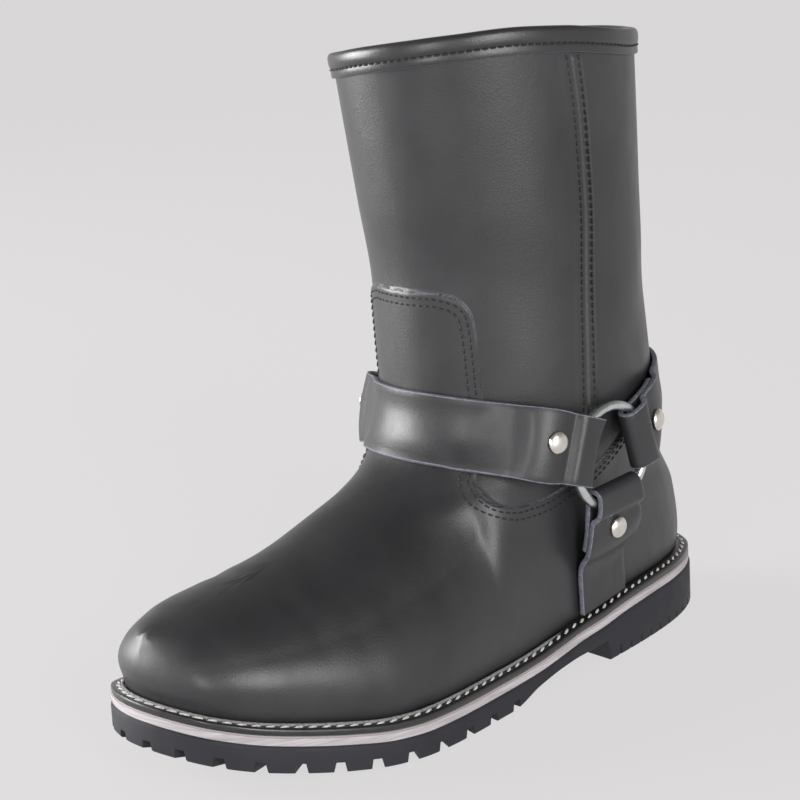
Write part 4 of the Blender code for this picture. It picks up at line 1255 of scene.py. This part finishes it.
def inside_edge(distance, side):
    """Line on the lower layer at a distance inside its edge, from heel to toe."""
    angles = np.radians(np.concatenate([np.linspace(0.0, 132.0, 200), np.linspace(132.0, 152.0, 260),
                                        np.linspace(152.0, 179.9, 60)]))
    height = overlay_edge(angles)
    points = upper_point(angles, height)
    way = np.gradient(points, axis=0)
    way /= np.linalg.norm(way, axis=1, keepdims=True)
    normal = outward_of(angles, height)
    inward = np.cross(normal, way)
    small = 0.01
    by_angle = (upper_point(angles + small, height) - points) / small
    by_height = (upper_point(angles, height + small) - points) / small
    aa = np.sum(by_angle * by_angle, axis=1)
    ah = np.sum(by_angle * by_height, axis=1)
    hh = np.sum(by_height * by_height, axis=1)
    ta = np.sum(by_angle * inward, axis=1)
    th = np.sum(by_height * inward, axis=1)
    det = aa * hh - ah * ah
    turned = angles + distance * (hh * ta - ah * th) / det
    lowered = height + distance * (aa * th - ah * ta) / det
    keep = turned < math.pi
    turned, lowered = turned[keep] * side, lowered[keep]
    line = upper_face(turned, lowered, OVERLAY_STEP)
    line = upper_face(turned, lowered, OVERLAY_STEP + folds(line))
    return line, outward_of(turned, lowered)


def seam_line_points(degrees, side):
    """Line up the side seam at a column's angle, from the lower layer to the binding."""
    around = math.radians(degrees) * side
    low = float(layer_edge(np.array([around]))[0]) + 1.5
    high = float(collar(around)) - BINDING_HEIGHT - 0.6
    heights = np.linspace(low, high, 120)
    turned = lean(np.full(120, around), heights)
    return upper_face(turned, heights, float(seam_lap(degrees))), outward_of(turned, heights)


def black_stitch_rows(pitch):
    """Rows of the layer's edge, the side seams and the binding, on both sides of the boot."""
    lines = [inside_edge(distance, side) for distance in LAYER_ROWS_INSIDE for side in (OUTER, INNER)]
    lines += [seam_line_points(degrees, side) for degrees in SEAM_ROWS for side in (OUTER, INNER)]
    rows = [spaced(*line, pitch) for line in lines]
    angles = fine_angles()
    level = collar(angles) - BINDING_STITCH
    turned = lean(angles, level)
    for proud, sign in ((GAP + BINDING_THICKNESS - 0.1, 1.0), (-WALL - GAP - BINDING_THICKNESS, -1.0)):
        line = upper_face(turned, level, proud)
        rows.append(spaced(line, outward_of(turned, level) * sign, pitch, True))
    return rows


def build_bead(settings):
    """Pale strip in the corner between welt and upper, from arch to arch round the toe."""
    stations = fine_stations()
    stations = stations[stations > BEAD_START]
    outer = sole_side(OUTER, BEAD_INSET, stations)
    inner = sole_side(INNER, BEAD_INSET, stations)
    toe = [[SOLE_LENGTH - BEAD_INSET, sole_axis(SOLE_LENGTH)]]
    line = raise_ring(np.concatenate([outer, toe, inner[::-1]]), lambda x: welt_top(x) + BEAD_LIFT)
    ways = np.gradient(line, axis=0)
    ways /= np.linalg.norm(ways, axis=1, keepdims=True)
    aside = np.cross(ways, [0.0, 0.0, 1.0])
    turn = np.linspace(0.0, 2.0 * math.pi, BEAD_SIDES, endpoint=False)
    ends = np.minimum(np.arange(len(line)), np.arange(len(line))[::-1])
    girth = BEAD_RADIUS * smooth((ends + 1.0) / BEAD_TAPER)
    cosine, sine = np.cos(turn)[:, None], np.sin(turn)[:, None]
    rings = [line[k] + (aside[k] * cosine + np.array([0.0, 0.0, 1.0]) * sine) * girth[k]
             for k in range(len(line))]
    points, faces = rolled(rings, closed=False)
    faces += end_caps(len(turn), len(rings))
    bead = cut_edge("welt_bead_grey", settings.bead_colour)
    piece = boot_mesh("boot_welt_bead", points, faces, [bead], None, 60.0)
    settle(piece, "welt_leather")


def build_stitching(settings):
    """Black rows on the upper, off-white stitches on the welt, and the bead inside them."""
    black = thread("black_thread", settings.dark_colour)
    pale = thread("welt_thread", settings.welt_colour)
    rows = black_stitch_rows(settings.fine_pitch * PER_METRE)
    stitch_row("boot_black_stitches", rows, *BLACK_STITCH, black, "upper_leather")
    line = fine_ring(WELT_STITCH_INSET, welt_top)
    upward = np.tile([0.0, 0.0, 1.0], (len(line), 1))
    row = spaced(line, upward, settings.welt_pitch * PER_METRE, True)
    stitch_row("boot_welt_stitches", [row], *WELT_STITCH, pale, "welt_leather")
    build_bead(settings)


def new_material(name):
    material = bpy.data.materials.new(name)
    material.use_nodes = True
    tree = material.node_tree
    coords = tree.nodes.new("ShaderNodeTexCoord")
    return material, tree, tree.nodes["Principled BSDF"], coords.outputs["Object"]


def noise(tree, coords, size, detail=3.0, stretch=(1.0, 1.0, 1.0)):
    """Soft noise whose blotches are about this size in metres."""
    mapping = tree.nodes.new("ShaderNodeMapping")
    mapping.inputs["Scale"].default_value = stretch
    tree.links.new(coords, mapping.inputs["Vector"])
    node = tree.nodes.new("ShaderNodeTexNoise")
    node.inputs["Scale"].default_value = 1.0 / size
    node.inputs["Detail"].default_value = detail
    tree.links.new(mapping.outputs["Vector"], node.inputs["Vector"])
    return node.outputs["Fac"]


def cells(tree, coords, size):
    node = tree.nodes.new("ShaderNodeTexVoronoi")
    node.inputs["Scale"].default_value = 1.0 / size
    tree.links.new(coords, node.inputs["Vector"])
    return node.outputs["Distance"]


def spread(tree, value, low, high):
    """Noise value turned into a number between two ends."""
    node = tree.nodes.new("ShaderNodeMapRange")
    node.inputs["From Min"].default_value = 0.3
    node.inputs["From Max"].default_value = 0.7
    node.inputs["To Min"].default_value = low
    node.inputs["To Max"].default_value = high
    tree.links.new(value, node.inputs["Value"])
    return node.outputs["Result"]


def blended(tree, value, first, second):
    """Noise value turned into a colour between two colours."""
    node = tree.nodes.new("ShaderNodeValToRGB")
    node.color_ramp.elements[0].position = 0.32
    node.color_ramp.elements[0].color = (*first, 1.0)
    node.color_ramp.elements[1].position = 0.68
    node.color_ramp.elements[1].color = (*second, 1.0)
    tree.links.new(value, node.inputs["Fac"])
    return node.outputs["Color"]


def bumped(tree, shader, layers):
    """Chain of bumps on a shader: each layer is a height, a distance in metres and a strength."""
    normal = None
    for height, distance, strength in layers:
        node = tree.nodes.new("ShaderNodeBump")
        node.inputs["Distance"].default_value = distance
        node.inputs["Strength"].default_value = strength
        tree.links.new(height, node.inputs["Height"])
        if normal is not None:
            tree.links.new(normal, node.inputs["Normal"])
        normal = node.outputs["Normal"]
    tree.links.new(normal, shader.inputs["Normal"])


def shade(colour, factor):
    return tuple(min(1.0, channel * factor) for channel in colour)


def smooth_leather(name, colour, roughness, settings):
    """Polished black leather: faint clouding, fine pores, a few flat scuffs."""
    material, tree, shader, coords = new_material(name)
    cloud = noise(tree, coords, 0.03, 5.0)
    tint = blended(tree, cloud, shade(colour, 0.86), shade(colour, 1.22))
    tree.links.new(tint, shader.inputs["Base Color"])
    worn = noise(tree, coords, 0.009, 6.0, (1.0, 1.0, 0.5))
    tree.links.new(spread(tree, worn, roughness - 0.045, roughness + 0.06), shader.inputs["Roughness"])
    grain = cells(tree, coords, settings.grain_size)
    pores = noise(tree, coords, settings.grain_size * 0.55, 2.0)
    ripple = noise(tree, coords, 0.014, 2.0)
    bumped(tree, shader, [
        (ripple, 0.0006, 0.18),
        (grain, settings.grain_size * 0.16, settings.grain_strength),
        (pores, settings.grain_size * 0.1, settings.grain_strength),
    ])
    shader.inputs["Specular IOR Level"].default_value = 0.5
    shader.inputs["Coat Weight"].default_value = 0.12
    shader.inputs["Coat Roughness"].default_value = 0.3
    return material


def clouded(name, colours, size, detail, roughness, relief, fine=None, stretch=(1.0, 1.0, 1.0)):
    """Finish whose colour, roughness and relief follow one noise, with a finer relief over it.

    Relief is a depth in metres and a strength, and fine is a size, a detail, a depth and a strength.
    """
    material, tree, shader, coords = new_material(name)
    cloud = noise(tree, coords, size, detail, stretch)
    tree.links.new(blended(tree, cloud, *colours), shader.inputs["Base Color"])
    tree.links.new(spread(tree, cloud, *roughness), shader.inputs["Roughness"])
    layers = [(cloud, *relief)]
    if fine:
        layers.append((noise(tree, coords, *fine[:2]), *fine[2:]))
    bumped(tree, shader, layers)
    return material, shader


def cut_edge(name, colour):
    """Raw cut leather edge, slightly fibrous and lighter than the dyed face."""
    colours = (shade(colour, 0.6), shade(colour, 1.3))
    return clouded(name, colours, 0.0012, 4.0, (0.55, 0.75), (0.00015, 0.6))[0]


def lining_leather(name, colour):
    """Unglazed lining leather inside the shaft."""
    material, tree, shader, coords = new_material(name)
    cloud = noise(tree, coords, 0.02, 4.0)
    tree.links.new(blended(tree, cloud, shade(colour, 0.8), shade(colour, 1.2)), shader.inputs["Base Color"])
    tree.links.new(spread(tree, cloud, 0.62, 0.75), shader.inputs["Roughness"])
    bumped(tree, shader, [(noise(tree, coords, 0.0007, 3.0), 0.0001, 0.5)])
    return material


def insole_board(name, colour):
    """Flecked fibre board."""
    colours = (shade(colour, 0.75), shade(colour, 1.25))
    return clouded(name, colours, 0.002, 5.0, (0.75, 0.9), (0.0002, 0.5))[0]


def welt_leather(name, colour):
    """Glossy waxed leather strip."""
    colours = (shade(colour, 0.8), shade(colour, 1.3))
    material, shader = clouded(name, colours, 0.006, 4.0, (0.26, 0.4), (0.0003, 0.25),
                               (0.0007, 2.0, 0.00006, 0.4))
    shader.inputs["Coat Weight"].default_value = 0.25
    shader.inputs["Coat Roughness"].default_value = 0.2
    return material


def midsole_edge(name, pale, dark):
    """Trimmed edge of the tan slab, with fine streaks along the sole and duller patches."""
    colours = (shade(dark, 1.15), shade(pale, 1.08))
    return clouded(name, colours, 0.02, 6.0, (0.5, 0.68), (0.0002, 0.35), (0.0006, 2.0, 0.00005, 0.4),
                   (1.0, 1.0, 22.0))[0]


def sole_rubber(name, colour):
    """Moulded rubber, bluish and matt, with a little dust in its pores."""
    colours = (shade(colour, 0.82), shade(colour, 1.3))
    material, shader = clouded(name, colours, 0.012, 6.0, (0.5, 0.7), (0.0003, 0.2),
                               (0.0008, 3.0, 0.00008, 0.5))
    shader.inputs["Specular IOR Level"].default_value = 0.32
    return material


def plated_metal(name, colour, roughness):
    """Nickel plate with faint rubbed patches."""
    colours = (shade(colour, 0.85), shade(colour, 1.08))
    material, shader = clouded(name, colours, 0.004, 5.0, (roughness - 0.05, roughness + 0.08),
                               (0.00008, 0.3))
    shader.inputs["Metallic"].default_value = 1.0
    return material


def thread(name, colour):
    """Waxed sewing thread with its twist."""
    colours = (shade(colour, 0.75), shade(colour, 1.15))
    return clouded(name, colours, 0.0008, 3.0, (0.5, 0.7), (0.0001, 0.6))[0]


def pale_floor(name, colour, glow):
    """Evenly lit studio paper: most of its light is its own, so the shadows stay faint."""
    material, tree, shader, coords = new_material(name)
    cloud = noise(tree, coords, 0.6, 2.0)
    paper = shade(colour, 1.0 - glow)
    tree.links.new(blended(tree, cloud, shade(paper, 0.98), paper), shader.inputs["Base Color"])
    shader.inputs["Roughness"].default_value = 0.9
    shader.inputs["Specular IOR Level"].default_value = 0.1
    shader.inputs["Emission Color"].default_value = (*colour, 1.0)
    shader.inputs["Emission Strength"].default_value = glow
    return material


def build_stage(settings):
    """Pale floor, plain soft lights and the camera at the photograph's angle."""
    sides = 96
    turn = np.linspace(0.0, 2.0 * math.pi, sides, endpoint=False)
    mesh = bpy.data.meshes.new("studio_floor")
    rings = [(settings.floor_radius * share * math.cos(a), settings.floor_radius * share * math.sin(a), 0.0)
             for share in (0.25, 1.0) for a in turn]
    faces = [tuple(range(sides))] + loop_faces(sides, 0, sides)
    mesh.from_pydata(rings, [], faces)
    mesh.materials.append(pale_floor("studio_paper", settings.floor_colour, settings.floor_glow))
    floor = bpy.data.objects.new("studio_floor", mesh)
    bpy.context.scene.collection.objects.link(floor)

    world = bpy.data.worlds.new("studio_sky")
    world.use_nodes = True
    sky = world.node_tree.nodes["Background"]
    tree = world.node_tree
    coords = tree.nodes.new("ShaderNodeTexCoord")
    parts = tree.nodes.new("ShaderNodeSeparateXYZ")
    rise = tree.nodes.new("ShaderNodeValToRGB")
    rise.color_ramp.elements[0].position = 0.08
    rise.color_ramp.elements[0].color = (*settings.sky_colour, 1.0)
    rise.color_ramp.elements[1].position = 0.6
    rise.color_ramp.elements[1].color = (*shade(settings.sky_colour, settings.sky_top), 1.0)
    tree.links.new(coords.outputs["Generated"], parts.inputs["Vector"])
    tree.links.new(parts.outputs["Z"], rise.inputs["Fac"])
    tree.links.new(rise.outputs["Color"], sky.inputs["Color"])
    sky.inputs["Strength"].default_value = settings.sky_strength
    bpy.context.scene.world = world
    bpy.context.scene.view_settings.view_transform = "Standard"

    for name, place, aim, width, height, power in LIGHTS:
        light = bpy.data.lights.new(name, "AREA")
        light.shape = "RECTANGLE"
        light.size = width
        light.size_y = height
        light.energy = power * settings.light_power
        lamp = bpy.data.objects.new(name, light)
        lamp.location = place
        lamp.rotation_euler = (Vector(aim) - Vector(place)).to_track_quat("-Z", "Y").to_euler()
        bpy.context.scene.collection.objects.link(lamp)

    camera = bpy.data.cameras.new("photo_camera")
    camera.lens = settings.lens
    camera.sensor_width = 36.0
    camera.clip_start = 0.05
    camera.clip_end = 100.0
    holder = bpy.data.objects.new("photo_camera", camera)
    right, upward, forward = (Vector(CAMERA[key]) for key in ("right", "upward", "forward"))
    turned = Matrix((right, upward, -forward)).transposed().to_4x4()
    holder.matrix_world = Matrix.Translation(Vector(CAMERA["place"])) @ turned
    bpy.context.scene.collection.objects.link(holder)
    bpy.context.scene.camera = holder


def colour_property(name, description, default):
    return bpy.props.FloatVectorProperty(
        name=name, description=description, default=default, subtype="COLOR", size=3, min=0.0, max=1.0)


def share_property(name, description, default):
    return bpy.props.FloatProperty(
        name=name, description=description, default=default, subtype="FACTOR", min=0.0, max=1.0)


def length_property(name, description, default):
    return bpy.props.FloatProperty(
        name=name, description=description, default=default, subtype="DISTANCE", unit="LENGTH", min=0.0)


class BootLeather(bpy.types.PropertyGroup):
    """Leather of the upper, its binding and the straps."""

    upper_colour: colour_property("Upper", "Dyed face of vamp, counter and shaft", (0.018, 0.018, 0.0195))
    strap_colour: colour_property("Straps", "Dyed face of the straps", (0.018, 0.0178, 0.0195))
    lining_colour: colour_property("Lining", "Inner face of the shaft", (0.05, 0.047, 0.045))
    edge_colour: colour_property("Cut edges", "Raw edges of straps and layers", (0.13, 0.135, 0.165))
    upper_roughness: share_property("Upper roughness", "How matt the upper is", 0.42)
    strap_roughness: share_property("Strap roughness", "How matt the straps are", 0.44)
    binding_roughness: share_property("Binding roughness", "How matt the binding is", 0.34)
    grain_size: length_property("Grain size", "Distance between the leather's pores", 0.0009)
    grain_strength: share_property("Grain strength", "How strongly the pores show", 0.25)


class BootThread(bpy.types.PropertyGroup):
    """Sewing threads and the bead inside the welt."""

    dark_colour: colour_property("Black thread", "Thread of the upper's seams", (0.006, 0.006, 0.007))
    welt_colour: colour_property("Welt thread", "Off-white thread of the welt", (0.62, 0.6, 0.55))
    bead_colour: colour_property("Welt bead", "Pale strip between welt and upper", (0.2, 0.2, 0.205))
    fine_pitch: length_property("Fine pitch", "Stitch length of the upper's seams", 0.0031)
    welt_pitch: length_property("Welt pitch", "Stitch length of the welt seam", 0.0055)


class BootSole(bpy.types.PropertyGroup):
    """Colours of the sole's layers."""

    board_colour: colour_property("Insole", "Board inside the boot", (0.09, 0.08, 0.07))
    welt_colour: colour_property("Welt", "Waxed strip round the edge", (0.012, 0.012, 0.013))
    midsole_colour: colour_property("Midsole", "Trimmed edge of the slab", (0.42, 0.39, 0.41))
    midsole_dark: colour_property(
        "Midsole line", "Darker streaks and top line of the slab", (0.25, 0.225, 0.225))
    rubber_colour: colour_property("Rubber", "Moulded outsole", (0.014, 0.0135, 0.0175))


class BootMetal(bpy.types.PropertyGroup):
    """Plating of rings and rivets."""

    ring_colour: colour_property("Rings", "Nickel plate of the rings", (0.62, 0.65, 0.64))
    rivet_colour: colour_property("Rivets", "Nickel plate of the rivets", (0.78, 0.74, 0.68))
    ring_roughness: share_property("Ring roughness", "How matt the rings are", 0.26)
    rivet_roughness: share_property("Rivet roughness", "How matt the rivets are", 0.24)


class BootStage(bpy.types.PropertyGroup):
    """Floor, sky, lights and lens."""

    floor_colour: colour_property("Floor", "Paper under the boot", (0.737, 0.723, 0.730))
    sky_colour: colour_property("Sky", "Soft light from all round", (0.737, 0.723, 0.730))
    sky_top: share_property("Sky top", "Brightness overhead as a share of the horizon's", 0.3)
    sky_strength: bpy.props.FloatProperty(
        name="Sky strength", description="Brightness of the soft light", default=1.0, min=0.0)
    light_power: bpy.props.FloatProperty(
        name="Light power", description="Factor on all the lamps", default=1.0, min=0.0)
    floor_glow: share_property("Floor glow", "Share of the floor's light that is its own", 0.88)
    floor_radius: length_property("Floor radius", "How far the floor reaches", 14.0)
    lens: bpy.props.FloatProperty(
        name="Lens", description="Focal length of the camera in millimetres", default=90.18, min=10.0)


class BOOT_OT_upper(bpy.types.Operator):
    """Build the leather upper with its layer, tab, side seams and lining"""

    bl_idname = "boot.upper"
    bl_label = "Upper"

    def execute(self, context):
        build_upper(context.scene.boot_leather)
        return {"FINISHED"}


class BOOT_OT_binding(bpy.types.Operator):
    """Build the folded binding over the collar"""

    bl_idname = "boot.binding"
    bl_label = "Collar binding"

    def execute(self, context):
        build_binding(context.scene.boot_leather)
        return {"FINISHED"}


class BOOT_OT_insole(bpy.types.Operator):
    """Build the insole board"""

    bl_idname = "boot.insole"
    bl_label = "Insole"

    def execute(self, context):
        build_insole(context.scene.boot_sole)
        return {"FINISHED"}


class BOOT_OT_welt(bpy.types.Operator):
    """Build the waxed welt"""

    bl_idname = "boot.welt"
    bl_label = "Welt"

    def execute(self, context):
        build_welt(context.scene.boot_sole)
        return {"FINISHED"}


class BOOT_OT_midsole(bpy.types.Operator):
    """Build the tan slab between welt and rubber"""

    bl_idname = "boot.midsole"
    bl_label = "Midsole"

    def execute(self, context):
        build_midsole(context.scene.boot_sole)
        return {"FINISHED"}


class BOOT_OT_outsole(bpy.types.Operator):
    """Build the lugged rubber outsole"""

    bl_idname = "boot.outsole"
    bl_label = "Outsole"

    def execute(self, context):
        build_outsole(context.scene.boot_sole)
        return {"FINISHED"}


class BOOT_OT_straps(bpy.types.Operator):
    """Build the straps folded round the rings, with their rivets"""

    bl_idname = "boot.straps"
    bl_label = "Straps and rivets"

    def execute(self, context):
        build_straps(context.scene.boot_leather, context.scene.boot_metal)
        return {"FINISHED"}


class BOOT_OT_rings(bpy.types.Operator):
    """Build the two wire rings"""

    bl_idname = "boot.rings"
    bl_label = "Rings"

    def execute(self, context):
        build_rings(context.scene.boot_metal)
        return {"FINISHED"}


class BOOT_OT_stitching(bpy.types.Operator):
    """Build the rows of stitches and the bead inside the welt"""

    bl_idname = "boot.stitching"
    bl_label = "Stitching"

    def execute(self, context):
        build_stitching(context.scene.boot_thread)
        return {"FINISHED"}


class BOOT_OT_stage(bpy.types.Operator):
    """Build the floor, the lights and the camera"""

    bl_idname = "boot.stage"
    bl_label = "Stage"

    def execute(self, context):
        build_stage(context.scene.boot_stage)
        return {"FINISHED"}


class BOOT_PT_pieces(bpy.types.Panel):
    """Buttons that build the boot's pieces"""

    bl_label = "Harness boot"
    bl_idname = "BOOT_PT_pieces"
    bl_space_type = "VIEW_3D"
    bl_region_type = "UI"
    bl_category = "Boot"

    def draw(self, context):
        for operator in OPERATORS:
            self.layout.operator(operator.bl_idname)
        for name in SETTINGS:
            settings = getattr(context.scene, name)
            box = self.layout.box()
            for key in settings.__annotations__:
                box.prop(settings, key)


OPERATORS = [
    BOOT_OT_upper, BOOT_OT_binding, BOOT_OT_insole, BOOT_OT_welt, BOOT_OT_midsole, BOOT_OT_outsole,
    BOOT_OT_straps, BOOT_OT_rings, BOOT_OT_stitching, BOOT_OT_stage,
]
SETTINGS = {
    "boot_leather": BootLeather, "boot_thread": BootThread, "boot_sole": BootSole,
    "boot_metal": BootMetal, "boot_stage": BootStage,
}


def register():
    for group in SETTINGS.values():
        bpy.utils.register_class(group)
    for operator in OPERATORS:
        bpy.utils.register_class(operator)
    bpy.utils.register_class(BOOT_PT_pieces)
    for name, group in SETTINGS.items():
        setattr(bpy.types.Scene, name, bpy.props.PointerProperty(type=group))


def unregister():
    for name in SETTINGS:
        delattr(bpy.types.Scene, name)
    bpy.utils.unregister_class(BOOT_PT_pieces)
    for operator in reversed(OPERATORS):
        bpy.utils.unregister_class(operator)
    for group in reversed(SETTINGS.values()):
        bpy.utils.unregister_class(group)


def main():
    register()
    bpy.ops.boot.upper()
    bpy.ops.boot.binding()
    bpy.ops.boot.insole()
    bpy.ops.boot.welt()
    bpy.ops.boot.midsole()
    bpy.ops.boot.outsole()
    bpy.ops.boot.straps()
    bpy.ops.boot.rings()
    bpy.ops.boot.stitching()
    bpy.ops.boot.stage()


if __name__ == "__main__":
    main()
